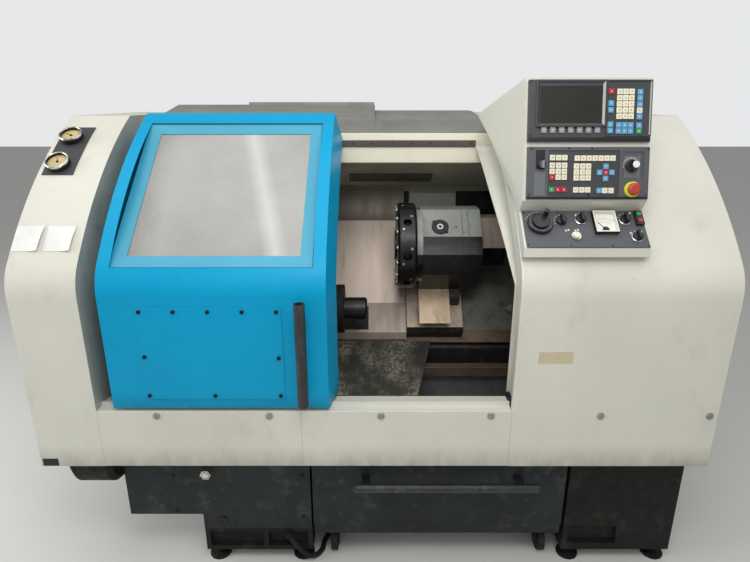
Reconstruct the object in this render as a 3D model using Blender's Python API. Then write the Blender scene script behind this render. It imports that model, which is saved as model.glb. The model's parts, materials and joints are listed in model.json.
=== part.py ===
# CNC turning lathe with a slant bed and an eight-sided turret drum, in metres, +Z up.
# X runs along the spindle, -Y faces the operator, and Z = 0 is the floor.
import math

import bmesh
import bpy
from mathutils import Matrix, Vector

for old in list(bpy.data.objects):
    bpy.data.objects.remove(old, do_unlink=True)

# Fits
SEAT = 0.0003
RUN = 0.0005
OVERRUN = 0.02
SHEET = 0.003
THIN_SHEET = 0.002

# Overall ends of the machine
LEFT_X = -1.15
RIGHT_X = 1.15
FRONT_Y = -0.70
REAR_Y = 0.55
COVER_BOTTOM_Z = 0.518
COVER_TOP_Z = 1.665

# Curved hood section: a flat front, a knee and a long arc
HOOD_R = 1.6
HOOD_Y = 0.5848
HOOD_Z = 0.2324
KNEE_R = 0.166
KNEE_STEPS = 4
ARC_STEPS = 8
KNEE_Y = FRONT_Y + KNEE_R
KNEE_Z = HOOD_Z + math.sqrt((HOOD_R - KNEE_R) ** 2 - (KNEE_Y - HOOD_Y) ** 2)
KNEE_ANGLE = math.atan2(KNEE_Z - HOOD_Z, KNEE_Y - HOOD_Y)

# Spindle axis
AXIS_Y = -0.28
AXIS_Z = 0.94


def box(bm, x, y, z, frame=Matrix()):
    """A block between the pairs x, y and z of the given frame."""
    loops = [[(x[i], y[j], z[k]) for j, k in ((0, 0), (1, 0), (1, 1), (0, 1))] for i in (0, 1)]
    loft(bm, loops, frame)


def loft(bm, loops, frame=Matrix(), ring=False):
    """Skin between loops of equally many points, with both ends capped unless it is a ring."""
    rows = [[bm.verts.new(frame @ Vector(p)) for p in loop] for loop in loops]
    count = len(rows[0])
    pairs = list(zip(rows, rows[1:]))
    if ring:
        pairs.append((rows[-1], rows[0]))
    for low, high in pairs:
        for i in range(count):
            j = (i + 1) % count
            bm.faces.new((low[i], low[j], high[j], high[i]))
    if not ring:
        bm.faces.new(rows[0])
        bm.faces.new(list(reversed(rows[-1])))


def prism(bm, outline, axis, span, frame=Matrix()):
    """An outline pulled along X, Y or Z; it holds the other two coordinates in order."""
    place = {
        "X": lambda p, s: (s, p[0], p[1]),
        "Y": lambda p, s: (p[0], s, p[1]),
        "Z": lambda p, s: (p[0], p[1], s),
    }[axis]
    loft(bm, [[place(p, s) for p in outline] for s in span], frame)


def turned(bm, profile, centre, axis, segments, ring=False):
    """A profile of (along, radius) points turned about an axis through the centre."""
    turn = Vector(axis).to_track_quat("Z", "Y").to_matrix()
    rows = []
    for along, radius in profile:
        angles = [2 * math.pi * i / segments for i in range(segments)] if radius else [0]
        spots = [Vector((radius * math.cos(a), radius * math.sin(a), along)) for a in angles]
        rows.append([bm.verts.new(Vector(centre) + turn @ spot) for spot in spots])
    pairs = list(zip(rows, rows[1:]))
    if ring:
        pairs.append((rows[-1], rows[0]))
    for low, high in pairs:
        for i in range(segments):
            j = (i + 1) % segments
            corners = [low[i % len(low)], low[j % len(low)], high[j % len(high)], high[i % len(high)]]
            bm.faces.new(list(dict.fromkeys(corners)))
    if not ring:
        for row in (rows[0], rows[-1]):
            if len(row) > 1:
                bm.faces.new(row)


def cylinder(bm, centre, axis, span, radius, segments, chamfer=0):
    """A plain shaft, with both rims chamfered when a chamfer is given."""
    low, high = span
    profile = [(low, radius), (high, radius)]
    if chamfer:
        profile = [(low, radius - chamfer), (low + chamfer, radius)]
        profile += [(high - chamfer, radius), (high, radius - chamfer)]
    turned(bm, profile, centre, axis, segments)


def tube(bm, centre, axis, span, outer, inner, segments):
    """A round ring or sleeve."""
    low, high = span
    turned(bm, [(low, inner), (low, outer), (high, outer), (high, inner)], centre, axis, segments, ring=True)


def thicken(path, wall):
    """The outline of a folded sheet: a path and its copy moved by the wall to the left."""
    moved = []
    for i, point in enumerate(path):
        here = Vector(point)
        before = here - Vector(path[i - 1]) if i else None
        after = Vector(path[i + 1]) - here if i + 1 < len(path) else None
        first = (before or after).normalized()
        second = (after or before).normalized()
        normal_a = Vector((-first.y, first.x))
        normal_b = Vector((-second.y, second.x))
        middle = (normal_a + normal_b).normalized()
        moved.append(tuple(here + middle * wall / middle.dot(normal_a)))
    return list(path) + list(reversed(moved))


def finished_mesh(bm, name, origin=Vector()):
    """Close the bmesh as a mesh whose faces point outwards."""
    bmesh.ops.recalc_face_normals(bm, faces=bm.faces)
    bmesh.ops.translate(bm, verts=bm.verts, vec=-Vector(origin))
    mesh = bpy.data.meshes.new(name)
    bm.to_mesh(mesh)
    bm.free()
    return mesh


def make(name, bm, finish, origin=(0, 0, 0), smooth=None):
    """One named sub-part with its own material, its origin on its joint's axis."""
    obj = bpy.data.objects.new(name, finished_mesh(bm, name, origin))
    obj.location = origin
    bpy.context.scene.collection.objects.link(obj)
    colour, roughness, metallic = finish
    material = bpy.data.materials.new(name)
    material.use_nodes = True
    shader = material.node_tree.nodes["Principled BSDF"]
    shader.inputs["Base Color"].default_value = (*colour, 1)
    shader.inputs["Roughness"].default_value = roughness
    shader.inputs["Metallic"].default_value = metallic
    obj.data.materials.append(material)
    if smooth:
        obj.data.shade_smooth()
        obj.data.set_sharp_from_angle(angle=smooth)
    return obj


def combine(obj, bm, operation="DIFFERENCE"):
    """Cut a hidden solid out of a piece, or join it on."""
    number = len(obj.modifiers)
    tool = bpy.data.objects.new(f"{obj.name}.tool{number}", finished_mesh(bm, obj.name))
    bpy.context.scene.collection.objects.link(tool)
    tool.hide_render = True
    tool.display_type = "WIRE"
    modifier = obj.modifiers.new(f"{operation.lower()}{number}", "BOOLEAN")
    modifier.operation = operation
    modifier.solver = "EXACT"
    modifier.object = tool


def face_frame(low, high):
    """Frame on a sloping face: X, up the face, and out of it, from its lower edge."""
    run = Vector((0, high[0] - low[0], high[1] - low[1])).normalized()
    out = Vector((1, 0, 0)).cross(run)
    frame = Matrix((Vector((1, 0, 0)), run, out)).transposed().to_4x4()
    frame.translation = Vector((0, low[0], low[1]))
    return frame


def direction(frame, axis):
    """A frame's own axis 0, 1 or 2 in the world."""
    return frame.col[axis].to_3d()


def hood_path(inset, bottom_z, end_angle):
    """Front, knee and arc of the hood, moved inwards, from the bottom to an angle on the arc."""
    path = [(FRONT_Y + inset, bottom_z)]
    for i in range(KNEE_STEPS + 1):
        angle = math.pi + (KNEE_ANGLE - math.pi) * i / KNEE_STEPS
        radius = KNEE_R - inset
        path.append((KNEE_Y + radius * math.cos(angle), KNEE_Z + radius * math.sin(angle)))
    for i in range(1, ARC_STEPS + 1):
        angle = KNEE_ANGLE + (end_angle - KNEE_ANGLE) * i / ARC_STEPS
        radius = HOOD_R - inset
        path.append((HOOD_Y + radius * math.cos(angle), HOOD_Z + radius * math.sin(angle)))
    return path


def angle_at_height(inset, z):
    """Angle on the arc at which it reaches a height."""
    return math.pi - math.asin((z - HOOD_Z) / (HOOD_R - inset))


def angle_at_depth(inset, y):
    """Angle on the arc at which it reaches a depth."""
    return math.acos((y - HOOD_Y) / (HOOD_R - inset))


def cover_outline(inset, bottom_z):
    """Closed section of an end cover, moved inwards by the inset."""
    top = COVER_TOP_Z - inset
    path = hood_path(inset, bottom_z, angle_at_height(inset, top))
    return path + [(REAR_Y - inset, top), (REAR_Y - inset, bottom_z)]


# Finishes: colour, roughness, metallic
CREAM = ((0.60, 0.58, 0.52), 0.45, 0)
BLUE = ((0.0, 0.33, 0.60), 0.4, 0)
DARK = ((0.035, 0.045, 0.045), 0.6, 0)
BLACK = ((0.015, 0.015, 0.015), 0.5, 0)
GREY = ((0.30, 0.31, 0.31), 0.5, 0)
STEEL = ((0.55, 0.55, 0.53), 0.3, 1)
CAST = ((0.12, 0.12, 0.11), 0.6, 0.6)
RUBBER = ((0.02, 0.02, 0.02), 0.8, 0)
GLASS = ((0.55, 0.60, 0.60), 0.2, 0)
RED = ((0.6, 0.02, 0.02), 0.35, 0)
GREEN = ((0.02, 0.25, 0.06), 0.4, 0)
WHITE = ((0.75, 0.75, 0.72), 0.4, 0)
SMOOTH = math.radians(35)

# Slant frame: its first axis is X, its second runs up the bed, its third stands off the bed
SLANT = face_frame((AXIS_Y, AXIS_Z), (AXIS_Y + 1, AXIS_Z + 1))

# Base casting
BASE_LEFT = -0.93
BASE_RIGHT = 1.145
BASE_FRONT = -0.585
BASE_REAR = 0.50
BASE_TOP = 0.52
BASE_UNDERSIDE = 0.05
PLINTH_STEP_X = -0.655
PLINTH_OVERHANG_Z = 0.23
BAY_LEFT = -0.242
BAY_RIGHT = 0.726
BAY_TOP = 0.44
POCKET_DEPTH = 0.02
POCKET_RIM = 0.018
FOOT_RIB_X = -0.4215
FOOT_RIB = 0.02
FOOT_TOP_Z = 0.153
RIGHT_POCKET_X = (0.747, 0.933)
RIGHT_POCKET_Z = (0.08, 0.161)
CORE_RIM = 0.08
CHUTE_X = (0.0, 0.42)
CHUTE_Y = (-0.57, -0.44)
FOOT_PAD_R = 0.042
FOOT_PAD_H = 0.016
FOOT_STUD_R = 0.013
FOOT_NUT_R = 0.02
FOOT_NUT_H = 0.012
FEET_X = (-0.615, -0.282, 0.766, 1.105)
FEET_INSET = 0.04
FOOT_SIDES = 12


def base_casting():
    outline = [
        (BASE_LEFT, PLINTH_OVERHANG_Z), (PLINTH_STEP_X, PLINTH_OVERHANG_Z),
        (PLINTH_STEP_X, BASE_UNDERSIDE), (BAY_LEFT, BASE_UNDERSIDE), (BAY_LEFT, BAY_TOP),
        (BAY_RIGHT, BAY_TOP), (BAY_RIGHT, BASE_UNDERSIDE), (BASE_RIGHT, BASE_UNDERSIDE),
        (BASE_RIGHT, BASE_TOP), (BASE_LEFT, BASE_TOP),
    ]
    bm = bmesh.new()
    prism(bm, outline, "Y", (BASE_FRONT, BASE_REAR))
    base = make("base_casting", bm, DARK)
    pockets = bmesh.new()
    depth = (BASE_FRONT - OVERRUN, BASE_FRONT + POCKET_DEPTH)
    low = BASE_UNDERSIDE + POCKET_RIM
    half_rib = FOOT_RIB / 2
    box(pockets, (PLINTH_STEP_X + POCKET_RIM, FOOT_RIB_X - half_rib), depth, (low, FOOT_TOP_Z - POCKET_RIM))
    box(pockets, (FOOT_RIB_X + half_rib, BAY_LEFT - POCKET_RIM), depth, (low, FOOT_TOP_Z - POCKET_RIM))
    box(pockets, RIGHT_POCKET_X, depth, RIGHT_POCKET_Z)
    combine(base, pockets)
    core = bmesh.new()
    core_y = (BASE_FRONT + CORE_RIM, BASE_REAR - CORE_RIM)
    core_z = (BASE_UNDERSIDE - OVERRUN, BASE_TOP - CORE_RIM)
    box(core, (PLINTH_STEP_X + CORE_RIM, BAY_LEFT - CORE_RIM), core_y, core_z)
    box(core, (BAY_RIGHT + CORE_RIM, BASE_RIGHT - CORE_RIM), core_y, core_z)
    combine(base, core)
    chute = bmesh.new()
    box(chute, CHUTE_X, CHUTE_Y, (BAY_TOP - OVERRUN, BASE_TOP + OVERRUN))
    combine(base, chute)
    feet = bmesh.new()
    nut = BASE_UNDERSIDE - FOOT_NUT_H
    top = BASE_UNDERSIDE + SHEET
    profile = [(0, FOOT_PAD_R), (FOOT_PAD_H / 2, FOOT_PAD_R), (FOOT_PAD_H, FOOT_STUD_R)]
    profile += [(nut, FOOT_STUD_R), (nut, FOOT_NUT_R), (top, FOOT_NUT_R)]
    for x in FEET_X:
        for y in (BASE_FRONT + FEET_INSET, BASE_REAR - FEET_INSET):
            turned(feet, profile, (x, y, 0), (0, 0, 1), FOOT_SIDES)
    combine(base, feet, "UNION")


# Plinth panel with its slot, its hole and the oil sight cap
PLINTH_FRONT = BASE_FRONT - SEAT - SHEET
PLINTH_TOP = COVER_BOTTOM_Z - SEAT
PLINTH_LOW_Z = 0.22
SLOT_X = -0.5776
SLOT_R = 0.0215
SLOT_CENTRE_Z = 0.37
SLOT_STEPS = 6
BOLT_HOLE = (-0.581, 0.194)
BOLT_HOLE_R = 0.0225
SIGHT_CENTRE = (-0.622, 0.414)
SIGHT_R = 0.0215
SIGHT_LENGTH = 0.028


def plinth_panel():
    outline = [(BASE_LEFT, PLINTH_LOW_Z), (PLINTH_STEP_X, PLINTH_LOW_Z), (PLINTH_STEP_X, FOOT_TOP_Z)]
    outline += [(BAY_LEFT, FOOT_TOP_Z), (BAY_LEFT, PLINTH_TOP), (SLOT_X + SLOT_R, PLINTH_TOP)]
    for i in range(SLOT_STEPS + 1):
        angle = -math.pi * i / SLOT_STEPS
        outline.append((SLOT_X + SLOT_R * math.cos(angle), SLOT_CENTRE_Z + SLOT_R * math.sin(angle)))
    outline += [(SLOT_X - SLOT_R, PLINTH_TOP), (BASE_LEFT, PLINTH_TOP)]
    bm = bmesh.new()
    prism(bm, outline, "Y", (PLINTH_FRONT, PLINTH_FRONT + SHEET))
    panel = make("plinth_panel", bm, DARK)
    cap = bmesh.new()
    spot = (SIGHT_CENTRE[0], PLINTH_FRONT, SIGHT_CENTRE[1])
    cylinder(cap, spot, (0, -1, 0), (-SHEET / 2, SIGHT_LENGTH), SIGHT_R, 6, SIGHT_R / 8)
    combine(panel, cap, "UNION")
    hole = bmesh.new()
    reach = SHEET + OVERRUN
    cylinder(hole, (BOLT_HOLE[0], PLINTH_FRONT, BOLT_HOLE[1]), (0, 1, 0), (-reach, reach), BOLT_HOLE_R, 16)
    combine(panel, hole)


# Slant bed with two box ways; distances are along and off the slant, from the spindle axis
BED_LEFT = -0.62
BED_RIGHT = 1.05
BED_OFF = -0.285
WAY_OFF = -0.257
BED_LOW = -0.06
BED_HIGH = 0.58
WAYS = ((-0.045, 0.015), (0.47, 0.53))
BED_BACK_Y = 0.42
BED_SHOULDER_DROP = 0.13
BED_CORE_WALL = 0.045
BED_CORE_WIDTH = 0.17


def slant_point(along, off):
    """World (y, z) of a place on the slant frame."""
    spot = SLANT @ Vector((0, along, off))
    return spot.y, spot.z


def bed_casting():
    outline = [slant_point(BED_LOW, BED_OFF)]
    for low, high in WAYS:
        outline += [slant_point(low, BED_OFF), slant_point(low, WAY_OFF)]
        outline += [slant_point(high, WAY_OFF), slant_point(high, BED_OFF)]
    top_y, top_z = slant_point(BED_HIGH, BED_OFF)
    front_y = outline[0][0]
    floor = BASE_TOP + SEAT
    outline += [(top_y, top_z), (BED_BACK_Y, top_z), (BED_BACK_Y, floor), (front_y, floor)]
    bm = bmesh.new()
    prism(bm, outline, "X", (BED_LEFT, BED_RIGHT))
    bed = make("bed_casting", bm, CAST)
    cores = bmesh.new()
    start = front_y + BED_CORE_WALL
    lift = floor + BED_CORE_WALL
    slope_z = front_y - outline[0][1]
    for i in range(2):
        left = start + i * (BED_CORE_WIDTH + BED_CORE_WALL)
        right = left + BED_CORE_WIDTH
        roof = BED_CORE_WALL * math.sqrt(2)
        tunnel = [(left, lift), (right, lift), (right, right - slope_z - roof), (left, left - slope_z - roof)]
        prism(cores, tunnel, "X", (BED_LEFT - OVERRUN, BED_RIGHT + OVERRUN))
    combine(bed, cores)


# Headstock, spindle and its pulley
HEAD_LEFT = -0.62
HEAD_RIGHT = -0.30
BARREL_RIGHT = -0.12
BARREL_R = 0.095
BORE_R = 0.055
ROUND = 32
SPINDLE_LEFT = -1.137
NOSE_RIGHT = -0.0315
NOSE_R = 0.0445
NOSE_LENGTH = 0.088
NOSE_CHAMFER = 0.006
BAR_BORE_R = 0.018
SHAFT_R = 0.040
JOURNAL_R = BORE_R - RUN
PULLEY_X = (-1.134, -1.096)
PULLEY_R = 0.09
GROOVE_DEPTH = 0.006
GROOVES = 4
HEAD_SHOULDER = 0.11
HEAD_FLAT = 0.06
HEAD_BACK = 0.13
HEAD_REAR_OFF = -0.19


def headstock_casting():
    seat = WAY_OFF + SEAT
    outline = [
        (WAYS[0][0], seat), (WAYS[1][1], seat), (WAYS[1][1], HEAD_REAR_OFF),
        (HEAD_BACK * 2, HEAD_REAR_OFF + HEAD_FLAT), (HEAD_BACK, HEAD_FLAT), (HEAD_FLAT, HEAD_SHOULDER),
        (-HEAD_FLAT, HEAD_SHOULDER), (-HEAD_SHOULDER, HEAD_FLAT), (-HEAD_SHOULDER, -HEAD_SHOULDER),
    ]
    bm = bmesh.new()
    prism(bm, outline, "X", (HEAD_LEFT, HEAD_RIGHT), SLANT)
    head = make("headstock_casting", bm, CAST, smooth=SMOOTH)
    barrel = bmesh.new()
    centre = (0, AXIS_Y, AXIS_Z)
    cylinder(barrel, centre, (1, 0, 0), (HEAD_RIGHT - OVERRUN, BARREL_RIGHT), BARREL_R, ROUND)
    combine(head, barrel, "UNION")
    bore = bmesh.new()
    cylinder(bore, centre, (1, 0, 0), (HEAD_LEFT - OVERRUN, BARREL_RIGHT + OVERRUN), BORE_R, ROUND)
    combine(head, bore)


def grooved_rim(span, radius, inner):
    """Closed profile of a pulley with V grooves round its rim."""
    low, high = span
    pitch = (high - low) / (GROOVES + 1)
    profile = [(low, inner), (low, radius)]
    for i in range(GROOVES):
        start = low + pitch * (i + 1 / 2)
        profile += [(start, radius), (start + pitch / 2, radius - GROOVE_DEPTH), (start + pitch, radius)]
    return [p for i, p in enumerate(profile) if p not in profile[:i]] + [(high, radius), (high, inner)]


def spindle():
    centre = (0, AXIS_Y, AXIS_Z)
    shoulder = NOSE_RIGHT - NOSE_LENGTH
    profile = [
        (SPINDLE_LEFT, BAR_BORE_R), (SPINDLE_LEFT, SHAFT_R), (HEAD_LEFT, SHAFT_R), (HEAD_LEFT, JOURNAL_R),
        (shoulder, JOURNAL_R), (shoulder, NOSE_R), (NOSE_RIGHT - NOSE_CHAMFER, NOSE_R),
        (NOSE_RIGHT, NOSE_R - NOSE_CHAMFER), (NOSE_RIGHT, BAR_BORE_R),
    ]
    bm = bmesh.new()
    turned(bm, profile, centre, (1, 0, 0), ROUND, ring=True)
    body = make("spindle", bm, BLACK, centre, SMOOTH)
    pulley = bmesh.new()
    turned(pulley, grooved_rim(PULLEY_X, PULLEY_R, (SHAFT_R + BAR_BORE_R) / 2), centre, (1, 0, 0), ROUND, ring=True)
    combine(body, pulley, "UNION")


# Spindle motor bolted to the end of the base, its pulley and the belt
MOTOR_CENTRE = (-0.555, 0.505)
MOTOR_R = 0.125
MOTOR_LEFT = -1.08
MOTOR_SHAFT_R = 0.014
MOTOR_BORE_DEPTH = 0.05
MOTOR_PULLEY_R = 0.05
BELT = 0.004
BELT_X = (-1.131, -1.099)
MOTOR_ROUND = 24


def motor_parts():
    centre = (0, *MOTOR_CENTRE)
    right = BASE_LEFT - SEAT
    bm = bmesh.new()
    cylinder(bm, centre, (1, 0, 0), (MOTOR_LEFT, right), MOTOR_R, ROUND, MOTOR_R / 8)
    motor = make("spindle_motor", bm, DARK, smooth=SMOOTH)
    bore = bmesh.new()
    bore_span = (MOTOR_LEFT - OVERRUN, MOTOR_LEFT + MOTOR_BORE_DEPTH)
    cylinder(bore, centre, (1, 0, 0), bore_span, MOTOR_SHAFT_R + RUN, MOTOR_ROUND)
    combine(motor, bore)
    rim = grooved_rim(PULLEY_X, MOTOR_PULLEY_R, MOTOR_SHAFT_R)[1:-1]
    shaft_end = MOTOR_LEFT + MOTOR_BORE_DEPTH - RUN
    profile = [(PULLEY_X[0], 0)] + rim + [(PULLEY_X[1], MOTOR_SHAFT_R), (shaft_end, MOTOR_SHAFT_R), (shaft_end, 0)]
    bm = bmesh.new()
    turned(bm, profile, centre, (1, 0, 0), MOTOR_ROUND)
    make("motor_pulley", bm, CAST, centre, SMOOTH)


def belt_loop(grow):
    """Outline round both pulleys, a distance outside their rims."""
    top = Vector((AXIS_Y, AXIS_Z))
    bottom = Vector(MOTOR_CENTRE)
    large = (PULLEY_R + SEAT) / math.cos(math.pi / ROUND) + grow
    small = (MOTOR_PULLEY_R + SEAT) / math.cos(math.pi / MOTOR_ROUND) + grow
    line = bottom - top
    heading = math.atan2(line.y, line.x)
    lean = math.acos((large - small) / line.length)
    points = []
    for centre, radius, start, turn in (
        (top, large, heading + lean, 2 * math.pi - 2 * lean), (bottom, small, heading - lean, 2 * lean),
    ):
        steps = ROUND // 2
        for i in range(steps + 1):
            angle = start + turn * i / steps
            points.append(tuple(centre + radius * Vector((math.cos(angle), math.sin(angle)))))
    return points


def drive_belt():
    outer = belt_loop(BELT)
    inner = belt_loop(0)
    loops = [[(x, *p) for p in loop] for x, loop in (
        (BELT_X[0], inner), (BELT_X[0], outer), (BELT_X[1], outer), (BELT_X[1], inner),
    )]
    bm = bmesh.new()
    loft(bm, loops, ring=True)
    make("drive_belt", bm, RUBBER, smooth=SMOOTH)


# End covers
LEFT_COVER_RIGHT = -0.93
REVEAL_DEPTH = 0.13
REVEAL_BOTTOM = 0.66
ENCLOSURE_LEFT = 0.457
ENCLOSURE_LIP = 0.018


def end_covers():
    bm = bmesh.new()
    prism(bm, cover_outline(0, COVER_BOTTOM_Z), "X", (LEFT_X, LEFT_COVER_RIGHT))
    cover = make("left_end_cover", bm, CREAM, smooth=SMOOTH)
    below = COVER_BOTTOM_Z - OVERRUN
    inside = bmesh.new()
    prism(inside, cover_outline(SHEET, below), "X", (LEFT_X + SHEET, LEFT_COVER_RIGHT - SHEET))
    combine(cover, inside)
    mouth = bmesh.new()
    mouth_x = (LEFT_COVER_RIGHT - 2 * SHEET, LEFT_COVER_RIGHT + OVERRUN)
    prism(mouth, cover_outline(REVEAL_DEPTH, below), "X", mouth_x)
    combine(cover, mouth)
    foot = bmesh.new()
    box(foot, mouth_x, (FRONT_Y + SHEET, REAR_Y - SHEET), (below, REVEAL_BOTTOM))
    combine(cover, foot)

    bm = bmesh.new()
    prism(bm, cover_outline(0, COVER_BOTTOM_Z), "X", (ENCLOSURE_LEFT, RIGHT_X))
    enclosure = make("right_enclosure", bm, CREAM, smooth=SMOOTH)
    inside = bmesh.new()
    prism(inside, cover_outline(SHEET, below), "X", (ENCLOSURE_LEFT + SHEET, RIGHT_X - SHEET))
    combine(enclosure, inside)
    mouth = bmesh.new()
    mouth_x = (ENCLOSURE_LEFT - OVERRUN, ENCLOSURE_LEFT + 2 * SHEET)
    prism(mouth, cover_outline(ENCLOSURE_LIP, below), "X", mouth_x)
    combine(enclosure, mouth)


# Door jamb: a wall behind the enclosure's left edge and a flange that narrows the opening
JAMB_X = (0.478, 0.481)
JAMB_BACK = 0.135
JAMB_BOTTOM = 0.7333
JAMB_TOP_X = 0.384
JAMB_MID_X = 0.419
JAMB_LOW_X = 0.468
JAMB_MID_Z = 1.396


def flange_edge(z):
    """Inner edge of the jamb's flange at a height."""
    if z <= KNEE_Z:
        return JAMB_LOW_X
    if z <= JAMB_MID_Z:
        return JAMB_LOW_X + (JAMB_MID_X - JAMB_LOW_X) * (z - KNEE_Z) / (JAMB_MID_Z - KNEE_Z)
    return JAMB_MID_X + (JAMB_TOP_X - JAMB_MID_X) * (z - JAMB_MID_Z) / (COVER_TOP_Z - JAMB_MID_Z)


def door_jamb():
    front_inset = SHEET + SEAT
    end = angle_at_height(front_inset, COVER_TOP_Z - front_inset)
    front = hood_path(front_inset, JAMB_BOTTOM, end)
    face = hood_path(JAMB_BACK - SHEET, JAMB_BOTTOM, end)
    back = hood_path(JAMB_BACK, JAMB_BOTTOM, end)
    loops = []
    for f, m, b in zip(front, face, back):
        edge = flange_edge(m[1])
        loops.append([
            (JAMB_X[0], *f), (JAMB_X[1], *f), (JAMB_X[1], *b), (edge, *b), (edge, *m), (JAMB_X[0], *m),
        ])
    bm = bmesh.new()
    loft(bm, loops)
    make("door_jamb", bm, CREAM, smooth=SMOOTH)


# Front apron: two folded panels that carry the sill and the door's guide
APRON_SEAM_X = -0.248
APRON_GAP = 0.0006
SILL_Z = 0.733
SILL_BACK = -0.5975
SILL_LIP_Z = 0.70
GUIDE_Y = (-0.662, -0.650)
GUIDE_TOP = 0.745


def front_apron():
    lip = BASE_FRONT - SEAT
    front = FRONT_Y + SHEET
    outline = [
        (lip, COVER_BOTTOM_Z), (FRONT_Y, COVER_BOTTOM_Z), (FRONT_Y, SILL_Z), (GUIDE_Y[0], SILL_Z),
        (GUIDE_Y[0], GUIDE_TOP), (GUIDE_Y[1], GUIDE_TOP), (GUIDE_Y[1], SILL_Z), (SILL_BACK, SILL_Z),
        (SILL_BACK, SILL_LIP_Z), (SILL_BACK - SHEET, SILL_LIP_Z), (SILL_BACK - SHEET, SILL_Z - SHEET),
        (front, SILL_Z - SHEET), (front, COVER_BOTTOM_Z + SHEET), (lip, COVER_BOTTOM_Z + SHEET),
    ]
    half = APRON_GAP / 2
    for side, span in (
        ("left", (LEFT_COVER_RIGHT + SEAT, APRON_SEAM_X - half)),
        ("right", (APRON_SEAM_X + half, ENCLOSURE_LEFT - SEAT)),
    ):
        bm = bmesh.new()
        prism(bm, outline, "X", span)
        make(f"front_apron_{side}", bm, CREAM)


# Headstock guard: a curved sheet behind the door and the bulkhead at the work area
GUARD_INSET = 0.122
GUARD_X = (LEFT_COVER_RIGHT + SHEET, -0.20)
GUARD_END_Y = -0.0633
GUARD_REAR_Y = 0.25
GUARD_OVER_COVER = -0.19
GUARD_LOW_ALONG = -0.02
BULKHEAD_HOLE_R = 0.0975
BEAM_BOTTOM = 1.4824


def headstock_guard():
    floor = BASE_TOP + SEAT
    outer = hood_path(GUARD_INSET, floor, angle_at_depth(GUARD_INSET, GUARD_END_Y))
    inner = hood_path(GUARD_INSET + SHEET, floor, angle_at_depth(GUARD_INSET + SHEET, GUARD_END_Y))
    bm = bmesh.new()
    prism(bm, outer + list(reversed(inner)), "X", GUARD_X)
    guard = make("headstock_guard", bm, GREY, smooth=SMOOTH)
    under_beam = BEAM_BOTTOM - SHEET
    low = slant_point(GUARD_LOW_ALONG, GUARD_OVER_COVER)
    rise = low[1] - low[0]
    plate = outer + [
        (GUARD_END_Y, under_beam), (GUARD_REAR_Y, under_beam), (GUARD_REAR_Y, GUARD_REAR_Y + rise),
        low, (low[0], floor),
    ]
    wall = bmesh.new()
    prism(wall, plate, "X", (GUARD_X[1] - SHEET, GUARD_X[1]))
    combine(guard, wall, "UNION")
    hole = bmesh.new()
    reach = (GUARD_X[1] - 2 * SHEET, GUARD_X[1] + OVERRUN)
    cylinder(hole, (0, AXIS_Y, AXIS_Z), (1, 0, 0), reach, BULKHEAD_HOLE_R, ROUND)
    combine(guard, hole)


# Top beam with the door's rail, the inner roof and the roof plates
BEAM_TOP = 1.5956
BEAM_FRONT = -0.055
BEAM_BACK = 0.02
BEAM_RIGHT = 0.4775
RAIL_Z = (1.543, 1.5695)
RAIL = 0.006
RAIL_END = 0.40
ROOF_BACK_Y = 0.27
ROOF_FOLD_Y = -0.02
ROOF_BACK_Z = 1.345
ROOF_DROP_Z = 1.175
ROOF_LEFT = -0.1995
PLATE_START_Y = -0.04
PLATE_FLAT_Y = -0.01
PLATE_STEP = (0.07, 1.6405)
PLATE_KNEE_Y = 0.42
LEFT_PLATE_Z = 1.70
RIGHT_PLATE_Z = 1.673
ROOF_SPLIT_X = 0.0
STRIP_X = (-0.596, -0.004)
STRIP_Y = (0.43, 0.53)
STRIP = 0.012


def top_sheets():
    bm = bmesh.new()
    left = LEFT_COVER_RIGHT + SHEET
    path = [(BEAM_BACK, BEAM_TOP), (BEAM_FRONT, BEAM_TOP), (BEAM_FRONT, BEAM_BOTTOM), (BEAM_BACK, BEAM_BOTTOM)]
    prism(bm, thicken(path, SHEET), "X", (left, BEAM_RIGHT))
    beam = make("top_beam", bm, CREAM)
    rail = bmesh.new()
    box(rail, (left, RAIL_END), (BEAM_FRONT - RAIL, BEAM_FRONT + SHEET / 2), RAIL_Z)
    combine(beam, rail, "UNION")

    top = BEAM_BOTTOM - SEAT
    path = [(BEAM_FRONT, top), (ROOF_FOLD_Y, top), (ROOF_BACK_Y, ROOF_BACK_Z), (ROOF_BACK_Y, ROOF_DROP_Z)]
    bm = bmesh.new()
    prism(bm, thicken(path, -THIN_SHEET), "X", (ROOF_LEFT, RIGHT_X - SHEET - SEAT))
    make("inner_roof", bm, GREY)

    low = BEAM_TOP + SEAT + THIN_SHEET
    plates = {}
    for side, span, top in (
        ("left", (left, ROOF_SPLIT_X - SEAT), LEFT_PLATE_Z),
        ("right", (ROOF_SPLIT_X + SEAT, ENCLOSURE_LEFT - RUN), RIGHT_PLATE_Z),
    ):
        path = [(PLATE_START_Y, low), (PLATE_FLAT_Y, low), PLATE_STEP, (PLATE_KNEE_Y, top), (REAR_Y, top)]
        bm = bmesh.new()
        prism(bm, thicken(path, -THIN_SHEET), "X", span)
        plates[side] = make(f"roof_plate_{side}", bm, STEEL)
    strip = bmesh.new()
    box(strip, STRIP_X, STRIP_Y, (LEFT_PLATE_Z - THIN_SHEET / 2, LEFT_PLATE_Z + STRIP))
    combine(plates["left"], strip, "UNION")

    floor = BASE_TOP + SEAT
    high = LEFT_PLATE_Z - THIN_SHEET - SEAT
    middle = RIGHT_PLATE_Z - THIN_SHEET - SEAT
    outline = [(left, floor), (ENCLOSURE_LEFT - RUN, floor), (ENCLOSURE_LEFT - RUN, middle)]
    outline += [(ROOF_SPLIT_X - RUN, middle), (ROOF_SPLIT_X - RUN, high), (left, high)]
    bm = bmesh.new()
    prism(bm, outline, "Y", (REAR_Y - SHEET, REAR_Y))
    make("rear_cover", bm, CREAM)


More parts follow.
